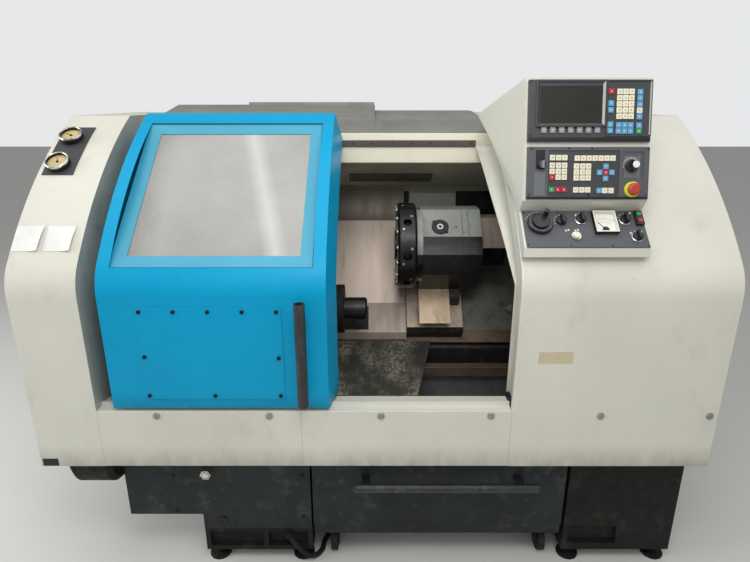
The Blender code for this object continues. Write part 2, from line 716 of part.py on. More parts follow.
# Chip tray with its chute on the deck of the base, and the shelf that sheds the swarf into it
TRAY_X = (-0.197, 1.14)
TRAY_FRONT_Y = -0.5845
TRAY_LIP_Z = 0.715
TRAY_BACK_Y = -0.25
TRAY_FLANGE = 0.04
TRAY_FLANGE_Z = 0.688
TRAY_RETURN = 0.04
SHELF_LEFT = TRAY_X[0]
SHELF_BACK = (0.24, -0.140, 0.738)
SHELF_FRONT = (0.16, -0.48, 0.668)


def chip_tray():
    floor = BASE_TOP + SEAT
    flange_y = TRAY_BACK_Y - TRAY_FLANGE
    path = [
        (TRAY_FRONT_Y, TRAY_LIP_Z), (TRAY_FRONT_Y, floor), (TRAY_BACK_Y, floor), (TRAY_BACK_Y, TRAY_FLANGE_Z),
        (flange_y, TRAY_FLANGE_Z), (flange_y, TRAY_FLANGE_Z - TRAY_RETURN),
    ]
    bm = bmesh.new()
    prism(bm, thicken(path, THIN_SHEET), "X", TRAY_X)
    tray = make("chip_tray", bm, CAST)
    shelf = bmesh.new()
    loft(shelf, [
        [(SHELF_LEFT, y, z), (right, y, z), (right, y, z - SHEET), (SHELF_LEFT, y, z - SHEET)]
        for right, y, z in (SHELF_BACK, SHELF_FRONT)
    ])
    combine(tray, shelf, "UNION")
    web = bmesh.new()
    reach = (SHELF_BACK[1] - TRAY_BACK_Y) / (SHELF_BACK[1] - SHELF_FRONT[1])
    web_top = SHELF_BACK[2] + reach * (SHELF_FRONT[2] - SHELF_BACK[2]) - SHEET / 2
    box(web, (SHELF_LEFT, SHELF_FRONT[0]), (TRAY_BACK_Y - THIN_SHEET, TRAY_BACK_Y), (TRAY_FLANGE_Z - THIN_SHEET, web_top))
    combine(tray, web, "UNION")
    chute = bmesh.new()
    box(chute, CHUTE_X, CHUTE_Y, (floor - OVERRUN, floor + OVERRUN))
    combine(tray, chute)


# Carriage: saddle, way cover, cross slide, turret
SADDLE_X = (0.135, 0.375)
SADDLE_TOP = -0.19
SADDLE_LOW = -0.02
SADDLE_HIGH = 0.54
SADDLE_CHAMFER = 0.02
COVER_LEFT_X = -0.19
COVER_HIGH = (0.257, 1.33)
COVER_FOLD = (0.257, 1.18)
COVER_LOW = (-0.045, 0.878)
COVER_FRONT = (-0.13, 0.775)
COVER_LIP = (-0.13, 0.74)
CROSS_X = (0.190, 0.36)
CROSS_LOW = 0.10
CROSS_HIGH = 0.48
CROSS_TOP = -0.13
CROSS_CHAMFER = 0.015
HOUSING_X = (0.186, 0.43)
HOUSING_OUTLINE = ((0.15, 0.0), (0.20, 0.075), (0.27, 0.10), (0.40, 0.10), (0.46, 0.04))
TURRET_ALONG = 0.288
TURRET_X = (0.090, 0.165)
TURRET_R = 0.1775
TURRET_BEVEL = 0.008
TURRET_HUB_R = 0.06
TURRET_HUB = 0.008
TURRET_STATIONS = 8
STATION_R = 0.016
STATION_DEPTH = 0.035
TURRET_ROUND = 48
FLANGE_R = 0.15
SERVO_OUTLINE = ((0.22, -0.05), (0.235, 0.07), (0.378, 0.072), (0.43, 0.02), (0.43, -0.05))
SERVO_RIGHT = 0.535


def carriage_parts():
    seat = WAY_OFF + SEAT
    outline = [
        (SADDLE_LOW, seat), (SADDLE_HIGH, seat), (SADDLE_HIGH, SADDLE_TOP - SADDLE_CHAMFER),
        (SADDLE_HIGH - SADDLE_CHAMFER, SADDLE_TOP), (SADDLE_LOW + SADDLE_CHAMFER, SADDLE_TOP),
        (SADDLE_LOW, SADDLE_TOP - SADDLE_CHAMFER),
    ]
    bm = bmesh.new()
    prism(bm, outline, "X", SADDLE_X, SLANT)
    make("saddle", bm, CAST)
    bm = bmesh.new()
    path = [COVER_LIP, COVER_FRONT, COVER_LOW, COVER_FOLD, COVER_HIGH]
    prism(bm, thicken(path, -THIN_SHEET), "X", (COVER_LEFT_X, SADDLE_X[0] - SEAT))
    make("way_cover", bm, STEEL)

    bm = bmesh.new()
    low = SADDLE_TOP + SEAT
    outline = [
        (CROSS_LOW, low), (CROSS_HIGH, low), (CROSS_HIGH, CROSS_TOP - CROSS_CHAMFER),
        (CROSS_HIGH - CROSS_CHAMFER, CROSS_TOP), (CROSS_LOW + CROSS_CHAMFER, CROSS_TOP),
        (CROSS_LOW, CROSS_TOP - CROSS_CHAMFER),
    ]
    prism(bm, outline, "X", CROSS_X, SLANT)
    make("cross_slide", bm, CAST)

    bm = bmesh.new()
    low = CROSS_TOP + SEAT
    outline = [(HOUSING_OUTLINE[0][0], low), *HOUSING_OUTLINE, (HOUSING_OUTLINE[-1][0], low)]
    prism(bm, outline, "X", HOUSING_X, SLANT)
    housing = make("turret_housing", bm, GREY, smooth=SMOOTH)
    servo = bmesh.new()
    prism(servo, SERVO_OUTLINE, "X", (HOUSING_X[1] - SHEET, SERVO_RIGHT), SLANT)
    combine(housing, servo, "UNION")
    centre = SLANT @ Vector((0, TURRET_ALONG, 0))
    flange = bmesh.new()
    cylinder(flange, centre, (1, 0, 0), (TURRET_X[1] + SEAT, HOUSING_X[0] + SHEET), FLANGE_R, ROUND)
    combine(housing, flange, "UNION")

    left, right = TURRET_X
    profile = [
        (left - TURRET_HUB, 0), (left - TURRET_HUB, TURRET_HUB_R), (left, TURRET_HUB_R),
        (left, TURRET_R - TURRET_BEVEL), (left + TURRET_BEVEL, TURRET_R), (right - TURRET_BEVEL, TURRET_R),
        (right, TURRET_R - TURRET_BEVEL), (right, 0),
    ]
    bm = bmesh.new()
    turned(bm, profile, centre, (1, 0, 0), TURRET_ROUND)
    disc = make("turret_disc", bm, STEEL, centre, SMOOTH)
    bores = bmesh.new()
    middle = (left + right) / 2
    span = (TURRET_R - STATION_DEPTH, TURRET_R + OVERRUN)
    for i in range(TURRET_STATIONS):
        angle = 2 * math.pi * i / TURRET_STATIONS
        out = (0, math.cos(angle), math.sin(angle))
        cylinder(bores, (middle, centre.y, centre.z), out, span, STATION_R, MOTOR_ROUND // 2)
    combine(disc, bores)


# Tailstock, quill and live centre
TAIL_X = (0.66, 0.90)
TAIL_LOW = -0.05
TAIL_HIGH = 0.54
TAIL_FOOT_TOP = -0.205
TAIL_OUTLINE = ((0.20, -0.18), (0.085, 0.0), (0.05, 0.065), (-0.05, 0.065), (-0.085, 0.0), (-0.06, -0.18))
QUILL_BORE_R = 0.0415
QUILL_X = (0.56, 0.86)
CENTRE_BORE_R = 0.0125
CENTRE_BORE_DEPTH = 0.08
CENTRE_TIP = 0.502
CENTRE_CONE = 0.028
CENTRE_R = 0.027


def tailstock_parts():
    centre = (0, AXIS_Y, AXIS_Z)
    seat = WAY_OFF + SEAT
    outline = [(TAIL_LOW, seat), (TAIL_HIGH, seat), (TAIL_HIGH, TAIL_FOOT_TOP), *TAIL_OUTLINE]
    bm = bmesh.new()
    prism(bm, outline, "X", TAIL_X, SLANT)
    tail = make("tailstock", bm, CAST)
    bore = bmesh.new()
    cylinder(bore, centre, (1, 0, 0), (TAIL_X[0] - OVERRUN, TAIL_X[1] + OVERRUN), QUILL_BORE_R, ROUND)
    combine(tail, bore)
    bm = bmesh.new()
    quill_r = QUILL_BORE_R - RUN
    hole_end = QUILL_X[0] + CENTRE_BORE_DEPTH
    profile = [
        (hole_end, 0), (hole_end, CENTRE_BORE_R), (QUILL_X[0], CENTRE_BORE_R), (QUILL_X[0], quill_r),
        (QUILL_X[1], quill_r), (QUILL_X[1], 0),
    ]
    turned(bm, profile, centre, (1, 0, 0), ROUND)
    make("tailstock_quill", bm, STEEL, centre, SMOOTH)
    bm = bmesh.new()
    back = QUILL_X[0] - SEAT
    profile = [
        (CENTRE_TIP, 0), (CENTRE_TIP + CENTRE_CONE, CENTRE_R), (back, CENTRE_R), (back, CENTRE_BORE_R - RUN),
        (hole_end - RUN, CENTRE_BORE_R - RUN), (hole_end - RUN, 0),
    ]
    turned(bm, profile, centre, (1, 0, 0), ROUND)
    make("live_centre", bm, STEEL, centre, SMOOTH)


# Sliding door: shell, window frame, pane, access panel and handle
DOOR_LEFT = -0.87
DOOR_RIGHT = -0.153
DOOR_BACK_RIGHT = -0.128
DOOR_DEPTH = 0.109
DOOR_BOTTOM = GUIDE_TOP + SEAT
DOOR_TOP_Y = -0.11
WINDOW_LOW = (-0.67, 1.223)
WINDOW_HIGH = (-0.1774, 1.640)
WINDOW_X = (-0.830, -0.193)
WINDOW_LAP = 0.008
WINDOW_SINK = 0.005
WINDOW_SHEET = 0.003
GLASS_X = (-0.787, -0.2365)
GLASS_U = (0.0494, 0.5927)
GLASS_LAP = 0.012
GLASS_THICK = 0.005
PANEL_X = (-0.7565, -0.2955)
PANEL_Z = (0.7795, 1.1035)
HANDLE_X = -0.229
HANDLE_Y = -0.7625
HANDLE_Z = (0.789, 1.138)
HANDLE_R = 0.0175
HANDLE_WALL = 0.003
HANDLE_HOLLOW = 0.06
STANDOFF_R = 0.009
STANDOFF_INSET = 0.03
HANDLE_ROUND = 20
WINDOW = face_frame(WINDOW_LOW, WINDOW_HIGH)
WINDOW_LENGTH = math.dist(WINDOW_LOW, WINDOW_HIGH)


def door_section(front, back, left, right, back_right):
    """Loops of a door-shaped block between two hood paths."""
    return [[(left, *f), (right, *f), (back_right, *b), (left, *b)] for f, b in zip(front, back)]


def door_parts():
    end = angle_at_depth(0, DOOR_TOP_Y)
    front = hood_path(0, DOOR_BOTTOM, end)
    back = hood_path(DOOR_DEPTH, DOOR_BOTTOM, end)
    bm = bmesh.new()
    loft(bm, door_section(front, back, DOOR_LEFT, DOOR_RIGHT, DOOR_BACK_RIGHT))
    shell = make("door_shell", bm, BLUE, smooth=SMOOTH)
    inner_end = end + SHEET / HOOD_R
    low = DOOR_BOTTOM + SHEET
    front = hood_path(SHEET, low, inner_end)
    back = hood_path(DOOR_DEPTH + OVERRUN, low, inner_end)
    cavity = bmesh.new()
    loft(cavity, door_section(front, back, DOOR_LEFT + SHEET, DOOR_RIGHT - SHEET, DOOR_BACK_RIGHT - SHEET))
    combine(shell, cavity)
    opening = bmesh.new()
    box(opening, WINDOW_X, (0, WINDOW_LENGTH), (-OVERRUN, 3 * OVERRUN), WINDOW)
    combine(shell, opening)

    top = -WINDOW_SINK
    bottom = top - WINDOW_SHEET
    bm = bmesh.new()
    frame_x = (WINDOW_X[0] - WINDOW_LAP, WINDOW_X[1] + WINDOW_LAP)
    box(bm, frame_x, (SEAT, WINDOW_LENGTH - SEAT), (bottom, top), WINDOW)
    frame = make("window_frame", bm, BLUE)
    hole = bmesh.new()
    box(hole, GLASS_X, GLASS_U, (bottom - OVERRUN, top + OVERRUN), WINDOW)
    combine(frame, hole)
    bm = bmesh.new()
    pane_top = bottom - SEAT
    pane_x = (GLASS_X[0] - GLASS_LAP, GLASS_X[1] + GLASS_LAP)
    pane_u = (GLASS_U[0] - GLASS_LAP, GLASS_U[1] + GLASS_LAP)
    box(bm, pane_x, pane_u, (pane_top - GLASS_THICK, pane_top), WINDOW)
    make("window_pane", bm, GLASS)

    bm = bmesh.new()
    box(bm, PANEL_X, (FRONT_Y - SEAT - SHEET, FRONT_Y - SEAT), PANEL_Z)
    make("door_access_panel", bm, BLUE)

    bm = bmesh.new()
    low, high = HANDLE_Z
    cylinder(bm, (HANDLE_X, HANDLE_Y, 0), (0, 0, 1), HANDLE_Z, HANDLE_R, HANDLE_ROUND)
    handle = make("door_handle", bm, BLACK, smooth=SMOOTH)
    posts = bmesh.new()
    for z in (low + STANDOFF_INSET, high - STANDOFF_INSET - HANDLE_HOLLOW):
        cylinder(posts, (HANDLE_X, HANDLE_Y, z), (0, 1, 0), (0, FRONT_Y - SEAT - HANDLE_Y), STANDOFF_R, MOTOR_ROUND // 2)
    combine(handle, posts, "UNION")
    hollow = bmesh.new()
    cylinder(hollow, (HANDLE_X, HANDLE_Y, 0), (0, 0, 1), (high - HANDLE_HOLLOW, high + OVERRUN), HANDLE_R - HANDLE_WALL, HANDLE_ROUND)
    combine(handle, hollow)


# Pendant housing and console on the right enclosure
PENDANT_LOW = (-0.613, 1.424)
PENDANT_HIGH = (-0.533, 1.786)
CONSOLE_LOW = (-0.681, 1.289)
CONSOLE_HIGH = (-0.5785, 1.383)
PENDANT_X = (0.4583, 0.8445)
PENDANT_CHIN = 0.027
PENDANT_BACK_X = 0.3904
PENDANT_BACK_Y = -0.128
PENDANT_SEAT = 0.0008
PENDANT_REAR_RISE = 0.004
CHIN_Z = 1.25
PENDANT = face_frame(PENDANT_LOW, PENDANT_HIGH)
CONSOLE = face_frame(CONSOLE_LOW, CONSOLE_HIGH)
PENDANT_OUT = direction(PENDANT, 2)
CONSOLE_OUT = direction(CONSOLE, 2)


def pendant_housing():
    start = angle_at_height(-PENDANT_SEAT, CHIN_Z)
    radius = HOOD_R + PENDANT_SEAT
    end = angle_at_height(-PENDANT_SEAT, COVER_TOP_Z + PENDANT_SEAT)
    seat = []
    for i in range(ARC_STEPS + 1):
        angle = start + (end - start) * i / ARC_STEPS
        seat.append((HOOD_Y + radius * math.cos(angle), HOOD_Z + radius * math.sin(angle)))
    rear = COVER_TOP_Z + PENDANT_SEAT
    outline = [
        PENDANT_HIGH, PENDANT_LOW, CONSOLE_HIGH, CONSOLE_LOW, (CONSOLE_LOW[0], CONSOLE_LOW[1] - PENDANT_CHIN),
        *seat, (PENDANT_BACK_Y, rear), (PENDANT_BACK_Y, rear + PENDANT_REAR_RISE),
    ]
    span = PENDANT_BACK_Y - PENDANT_HIGH[0]
    left = []
    for y, z in outline:
        share = min(max((y - PENDANT_HIGH[0]) / span, 0), 1)
        left.append((PENDANT_X[0] + (PENDANT_BACK_X - PENDANT_X[0]) * share, y, z))
    bm = bmesh.new()
    loft(bm, [left, [(PENDANT_X[1], y, z) for y, z in outline]])
    make("pendant_housing", bm, CREAM, smooth=SMOOTH)


# Display unit and operator panel on the pendant's face
DISPLAY_X = (0.4655, 0.8385)
DISPLAY_U = (0.178, 0.3615)
DISPLAY_OUT = 0.014
SCREEN_X = (0.495, 0.684)
SCREEN_U = (0.2165, 0.352)
SCREEN_DEPTH = 0.006
OPERATOR_X = (0.4665, 0.841)
OPERATOR_U = (0.004, 0.1624)
OPERATOR_OUT = 0.010
RECESS = 0.003
KEY_RECESS_X = (0.531, 0.750)
KEY_RECESS_U = (0.012, 0.152)
DIAL_RECESS_X = (0.7595, 0.823)
DIAL_RECESS_U = (0.068, 0.1486)
KEY_SIZE = 0.0125
KEY_OUT = 0.0035
SOFT_KEY_FIRST = (0.5126, 0.2113)
SOFT_KEY_STEP = 0.0271
SOFT_KEYS = 7
DATA_COLUMNS = (0.739, 0.757, 0.775)
DATA_ROWS = (0.3254, 0.307, 0.289, 0.2708, 0.2526)
EDIT_COLUMN_X = 0.8005
EDIT_ROWS = (0.3244, 0.3063, 0.2881, 0.2699, 0.2516, 0.2256, 0.2088)
PAGE_COLUMN_X = 0.7135
PAGE_ROWS = (0.326, 0.2911, 0.2714, 0.2287, 0.2103)
CURSOR_ROWS = (0.2265, 0.2088)
MODE_COLUMNS = (0.5435, 0.5625, 0.581)
MODE_ROWS = (0.130, 0.1069, 0.0888, 0.071, 0.0335)
AXIS_COLUMNS = (0.618, 0.6367, 0.6547)
AXIS_ROWS = (0.1045, 0.0866, 0.0688, 0.0325)
FEED_FIRST = (0.6195, 0.1285)
FEED_STEP = 0.01817
FEED_KEYS = 7
JOG_KEYS = ((0.7081, 0.1038), (0.6894, 0.0855), (0.7272, 0.0855), (0.7081, 0.0672), (0.7081, 0.0855))
LAMP_COLUMNS = (0.690, 0.7075, 0.7265)
LAMP_ROW = 0.0305
ESTOP = (0.7894, 0.0337)
ESTOP_COLLAR_R = 0.0235
ESTOP_STEM_R = 0.012
ESTOP_COLLAR_H = 0.011
BUTTON_ROUND = 20


def on_face(frame, spot, out):
    """World place of a spot (x, up) on a face, a distance out of it."""
    return frame @ Vector((spot[0], spot[1], out))


def add_keys(panel, spots, base):
    """Join square keys that stand out of a panel's face."""
    bm = bmesh.new()
    half = KEY_SIZE / 2
    for x, u in spots:
        box(bm, (x - half, x + half), (u - half, u + half), (base - KEY_OUT / 2, base + KEY_OUT), PENDANT)
    combine(panel, bm, "UNION")


def pendant_panels():
    bm = bmesh.new()
    box(bm, DISPLAY_X, DISPLAY_U, (SEAT, DISPLAY_OUT), PENDANT)
    unit = make("display_unit", bm, GREY)
    screen = bmesh.new()
    box(screen, SCREEN_X, SCREEN_U, (DISPLAY_OUT - SCREEN_DEPTH, DISPLAY_OUT + OVERRUN), PENDANT)
    combine(unit, screen)

    bm = bmesh.new()
    box(bm, OPERATOR_X, OPERATOR_U, (SEAT, OPERATOR_OUT), PENDANT)
    panel = make("operator_panel", bm, GREY, smooth=SMOOTH)
    collar = bmesh.new()
    place = on_face(PENDANT, ESTOP, 0)
    span = (OPERATOR_OUT / 2, OPERATOR_OUT + ESTOP_COLLAR_H)
    tube(collar, place, PENDANT_OUT, span, ESTOP_COLLAR_R, ESTOP_STEM_R + RUN, BUTTON_ROUND)
    combine(panel, collar, "UNION")
    recess = bmesh.new()
    depth = (OPERATOR_OUT - RECESS, OPERATOR_OUT + RUN)
    box(recess, KEY_RECESS_X, KEY_RECESS_U, depth, PENDANT)
    box(recess, DIAL_RECESS_X, DIAL_RECESS_U, depth, PENDANT)
    combine(panel, recess)

    x, u = SOFT_KEY_FIRST
    spots = [(x + SOFT_KEY_STEP * i, u) for i in range(SOFT_KEYS)]
    spots += [(x, u) for x in DATA_COLUMNS for u in DATA_ROWS + CURSOR_ROWS]
    spots += [(EDIT_COLUMN_X, u) for u in EDIT_ROWS]
    spots += [(PAGE_COLUMN_X, u) for u in PAGE_ROWS]
    add_keys(unit, spots, DISPLAY_OUT)
    x, u = FEED_FIRST
    spots = [(x + FEED_STEP * i, u) for i in range(FEED_KEYS)]
    spots += [(x, u) for x in MODE_COLUMNS for u in MODE_ROWS]
    spots += [(x, u) for x in AXIS_COLUMNS for u in AXIS_ROWS]
    spots += [(x, LAMP_ROW) for x in LAMP_COLUMNS] + list(JOG_KEYS)
    add_keys(panel, spots, OPERATOR_OUT - RECESS)


# Console plate with the load meter, button collars and rocker housing
CONSOLE_X = (0.465, 0.842)
CONSOLE_U = (0.001, 0.1372)
CONSOLE_PLATE = 0.006
METER_X = (0.681, 0.753)
METER_U = (0.047, 0.128)
METER_OUT = 0.022
METER_RIM = 0.006
METER_DEPTH = 0.012
TWIN_X = (0.8155, 0.840)
TWIN_U = (0.080, 0.132)
TWIN_OUT = 0.010
WHITE_SPOT = (0.6203, 0.0396)
WHITE_R = 0.0108
WHITE_COLLAR_R = 0.0145
WHITE_COLLAR_H = 0.006
GREEN_SPOT = (0.8277, 0.119)
RED_SPOT = (0.8277, 0.094)
TWIN_R = 0.0078
BUTTON_LENGTH = 0.0085
BUTTON_LIFT = 0.0045


def console_panel():
    bm = bmesh.new()
    box(bm, CONSOLE_X, CONSOLE_U, (SEAT, CONSOLE_PLATE), CONSOLE)
    panel = make("console_panel", bm, GREY, smooth=SMOOTH)
    housings = bmesh.new()
    base = CONSOLE_PLATE / 2
    box(housings, METER_X, METER_U, (base, METER_OUT), CONSOLE)
    box(housings, TWIN_X, TWIN_U, (base, CONSOLE_PLATE + TWIN_OUT), CONSOLE)
    place = on_face(CONSOLE, WHITE_SPOT, 0)
    span = (base, CONSOLE_PLATE + WHITE_COLLAR_H)
    tube(housings, place, CONSOLE_OUT, span, WHITE_COLLAR_R, WHITE_R + RUN, BUTTON_ROUND)
    combine(panel, housings, "UNION")
    dial = bmesh.new()
    dial_x = (METER_X[0] + METER_RIM, METER_X[1] - METER_RIM)
    dial_u = (METER_U[0] + METER_RIM, METER_U[1] - METER_RIM)
    box(dial, dial_x, dial_u, (METER_OUT - METER_DEPTH, METER_OUT + OVERRUN), CONSOLE)
    combine(panel, dial)
    bores = bmesh.new()
    for spot in (GREEN_SPOT, RED_SPOT):
        place = on_face(CONSOLE, spot, 0)
        cylinder(bores, place, CONSOLE_OUT, (CONSOLE_PLATE, OVERRUN + TWIN_OUT), TWIN_R + RUN, BUTTON_ROUND)
    combine(panel, bores)


# Knobs, buttons and needles
KNOB_H = 0.012
GRIP_H = 0.012
GRIP_W = 0.007
SELECTOR_R = 0.016
SELECTORS = ((0.584, 0.0975), (0.6461, 0.1034), (0.784, 0.1014), (0.8094, 0.0377))
OVERRIDE = (0.786, 0.105)
OVERRIDE_R = 0.0185
KEY_SWITCH = (0.5093, 0.1084)
KEY_SWITCH_R = 0.012
WHEEL_SPOT = (0.5152, 0.0858)
WHEEL_R = 0.0395
WHEEL_H = 0.014
CRANK_OFFSET = (0.016, 0.022)
CRANK_R = 0.008
CRANK_H = 0.03
ESTOP_HEAD_R = 0.0195
ESTOP_HEAD_H = 0.012
ESTOP_TRAVEL = 0.004
METER_PIVOT = (0.717, 0.064)
METER_NEEDLE = 0.036
METER_READING = math.radians(40)
NEEDLE_HUB_R = 0.004
NEEDLE_W = 0.002
NEEDLE = 0.0016


def knob(name, frame, spot, radius, base, finish, tilt=0):
    """A round knob with a grip bar across it."""
    out = direction(frame, 2)
    origin = on_face(frame, spot, base + SEAT)
    bm = bmesh.new()
    cylinder(bm, origin, out, (0, KNOB_H), radius, BUTTON_ROUND, radius / 10)
    obj = make(name, bm, finish, origin, SMOOTH)
    grip = bmesh.new()
    turn = frame.copy()
    turn.translation = origin
    turn = turn @ Matrix.Rotation(tilt, 4, "Z")
    reach = radius - radius / 10
    box(grip, (-GRIP_W / 2, GRIP_W / 2), (-reach, reach), (KNOB_H / 2, KNOB_H + GRIP_H), turn)
    combine(obj, grip, "UNION")


def push_button(name, spot, radius, finish):
    """A round push button that stands in its collar on the console."""
    origin = on_face(CONSOLE, spot, CONSOLE_PLATE + BUTTON_LIFT)
    bm = bmesh.new()
    cylinder(bm, origin, CONSOLE_OUT, (0, BUTTON_LENGTH), radius, BUTTON_ROUND, radius / 10)
    make(name, bm, finish, origin, SMOOTH)


def needle(name, frame, spot, base, length, tilt):
    """A pointer with a round hub on its pivot."""
    origin = on_face(frame, spot, base + SEAT)
    turn = frame.copy()
    turn.translation = origin
    turn = turn @ Matrix.Rotation(tilt, 4, "Z")
    half = NEEDLE_W / 2
    outline = [(-half, 0), (half, 0), (half / 4, length), (-half / 4, length)]
    bm = bmesh.new()
    prism(bm, outline, "Z", (0, NEEDLE), turn)
    obj = make(name, bm, BLACK, origin)
    hub = bmesh.new()
    cylinder(hub, origin, direction(frame, 2), (0, 2 * NEEDLE), NEEDLE_HUB_R, BUTTON_ROUND // 2)
    combine(obj, hub, "UNION")


def controls():
    for i, spot in enumerate(SELECTORS):
        knob(f"selector_{i + 1}", CONSOLE, spot, SELECTOR_R, CONSOLE_PLATE, BLACK)
    knob("override_knob", PENDANT, OVERRIDE, OVERRIDE_R, OPERATOR_OUT - RECESS, BLACK)
    knob("key_switch", PENDANT, KEY_SWITCH, KEY_SWITCH_R, OPERATOR_OUT, STEEL)

    origin = on_face(CONSOLE, WHEEL_SPOT, CONSOLE_PLATE + SEAT)
    bm = bmesh.new()
    cylinder(bm, origin, CONSOLE_OUT, (0, WHEEL_H), WHEEL_R, ROUND, WHEEL_R / 10)
    wheel = make("handwheel", bm, BLACK, origin, SMOOTH)
    crank = bmesh.new()
    spot = (WHEEL_SPOT[0] + CRANK_OFFSET[0], WHEEL_SPOT[1] + CRANK_OFFSET[1])
    place = on_face(CONSOLE, spot, CONSOLE_PLATE + SEAT)
    cylinder(crank, place, CONSOLE_OUT, (WHEEL_H / 2, WHEEL_H + CRANK_H), CRANK_R, BUTTON_ROUND // 2)
    combine(wheel, crank, "UNION")

    push_button("white_button", WHITE_SPOT, WHITE_R, WHITE)
    push_button("green_button", GREEN_SPOT, TWIN_R, GREEN)
    push_button("red_button", RED_SPOT, TWIN_R, RED)

    collar_top = OPERATOR_OUT + ESTOP_COLLAR_H
    origin = on_face(PENDANT, ESTOP, 0)
    head = collar_top + ESTOP_TRAVEL + SEAT
    profile = [
        (OPERATOR_OUT + ESTOP_TRAVEL + 2 * SEAT, 0), (OPERATOR_OUT + ESTOP_TRAVEL + 2 * SEAT, ESTOP_STEM_R),
        (head, ESTOP_STEM_R), (head, ESTOP_HEAD_R), (head + ESTOP_HEAD_H / 2, ESTOP_HEAD_R),
        (head + ESTOP_HEAD_H, ESTOP_STEM_R), (head + ESTOP_HEAD_H, 0),
    ]
    bm = bmesh.new()
    turned(bm, profile, origin, PENDANT_OUT, BUTTON_ROUND)
    make("estop_button", bm, RED, origin, SMOOTH)

    needle("meter_needle", CONSOLE, METER_PIVOT, METER_OUT - METER_DEPTH, METER_NEEDLE, METER_READING)


# Gauge plate on the left cover, with two pressure gauges
GAUGE_PLATE_X = (-1.134, -1.027)
GAUGE_PLATE_ANGLES = (math.radians(128.9), math.radians(119.65))
GAUGE_LIFT = 0.0007
GAUGE_X = -1.089
GAUGE_ANGLES = (math.radians(122.1), math.radians(127.15))
GAUGE_R = 0.039
GAUGE_DIAL_R = 0.034
GAUGE_H = 0.022
GAUGE_DEPTH = 0.010
GAUGE_NEEDLE = 0.025
GAUGE_READINGS = (math.radians(60), math.radians(20))
GAUGE_PLATE_STEPS = 4


def gauge_frame(angle):
    """Frame on the hood at an angle: X, up the slope, and out."""
    frame = face_frame((0, 0), (math.sin(angle), -math.cos(angle)))
    radius = HOOD_R + SEAT + THIN_SHEET
    frame.translation = Vector((0, HOOD_Y + radius * math.cos(angle), HOOD_Z + radius * math.sin(angle)))
    return frame


def gauge_parts():
    bm = bmesh.new()
    start, end = GAUGE_PLATE_ANGLES
    outer = []
    inner = []
    for i in range(GAUGE_PLATE_STEPS + 1):
        angle = start + (end - start) * i / GAUGE_PLATE_STEPS
        direct = Vector((math.cos(angle), math.sin(angle)))
        centre = Vector((HOOD_Y, HOOD_Z))
        outer.append(tuple(centre + direct * (HOOD_R + GAUGE_LIFT + THIN_SHEET)))
        inner.append(tuple(centre + direct * (HOOD_R + GAUGE_LIFT)))
    prism(bm, outer + list(reversed(inner)), "X", GAUGE_PLATE_X)
    panel = make("gauge_panel", bm, GREY, smooth=SMOOTH)
    floor = GAUGE_H - GAUGE_DEPTH
    gauges = bmesh.new()
    for angle in GAUGE_ANGLES:
        frame = gauge_frame(angle)
        place = on_face(frame, (GAUGE_X, 0), 0)
        profile = [(0, 0), (0, GAUGE_R), (GAUGE_H, GAUGE_R), (GAUGE_H, GAUGE_DIAL_R), (floor, GAUGE_DIAL_R), (floor, 0)]
        turned(gauges, profile, place, direction(frame, 2), MOTOR_ROUND)
    combine(panel, gauges, "UNION")
    for i, angle in enumerate(GAUGE_ANGLES):
        frame = gauge_frame(angle)
        needle(f"gauge_needle_{i + 1}", frame, (GAUGE_X, 0), floor, GAUGE_NEEDLE, GAUGE_READINGS[i])


# Tank drawer on castor wheels
TANK_X = (-0.232, 0.710)
TANK_Y = (-0.5855, 0.30)
TANK_Z = (0.13, 0.425)
TANK_FRONT_X = (-0.2345, 0.7125)
TANK_FRONT_Z = (0.17, 0.5145)
TANK_FRONT_Y = BASE_FRONT - SEAT - SHEET
TANK_BAR_R = 0.0165
TANK_BAR_X = (-0.07, 0.589)
TANK_BAR_Y = -0.655
TANK_BAR_Z = 0.39
BRACKET_X = (-0.033, 0.53)
BRACKET_W = 0.03
WHEEL_RADIUS = 0.05
WHEEL_LIFT = 0.001
WHEEL_WIDTH = 0.026
CASTOR_X = (-0.16, 0.657)
CASTOR_Y = (-0.517, 0.24)
CHEEK = 0.004
CHEEK_GAP = 0.001
CHEEK_HALF = 0.02
AXLE_R = 0.006
AXLE_ROUND = 12


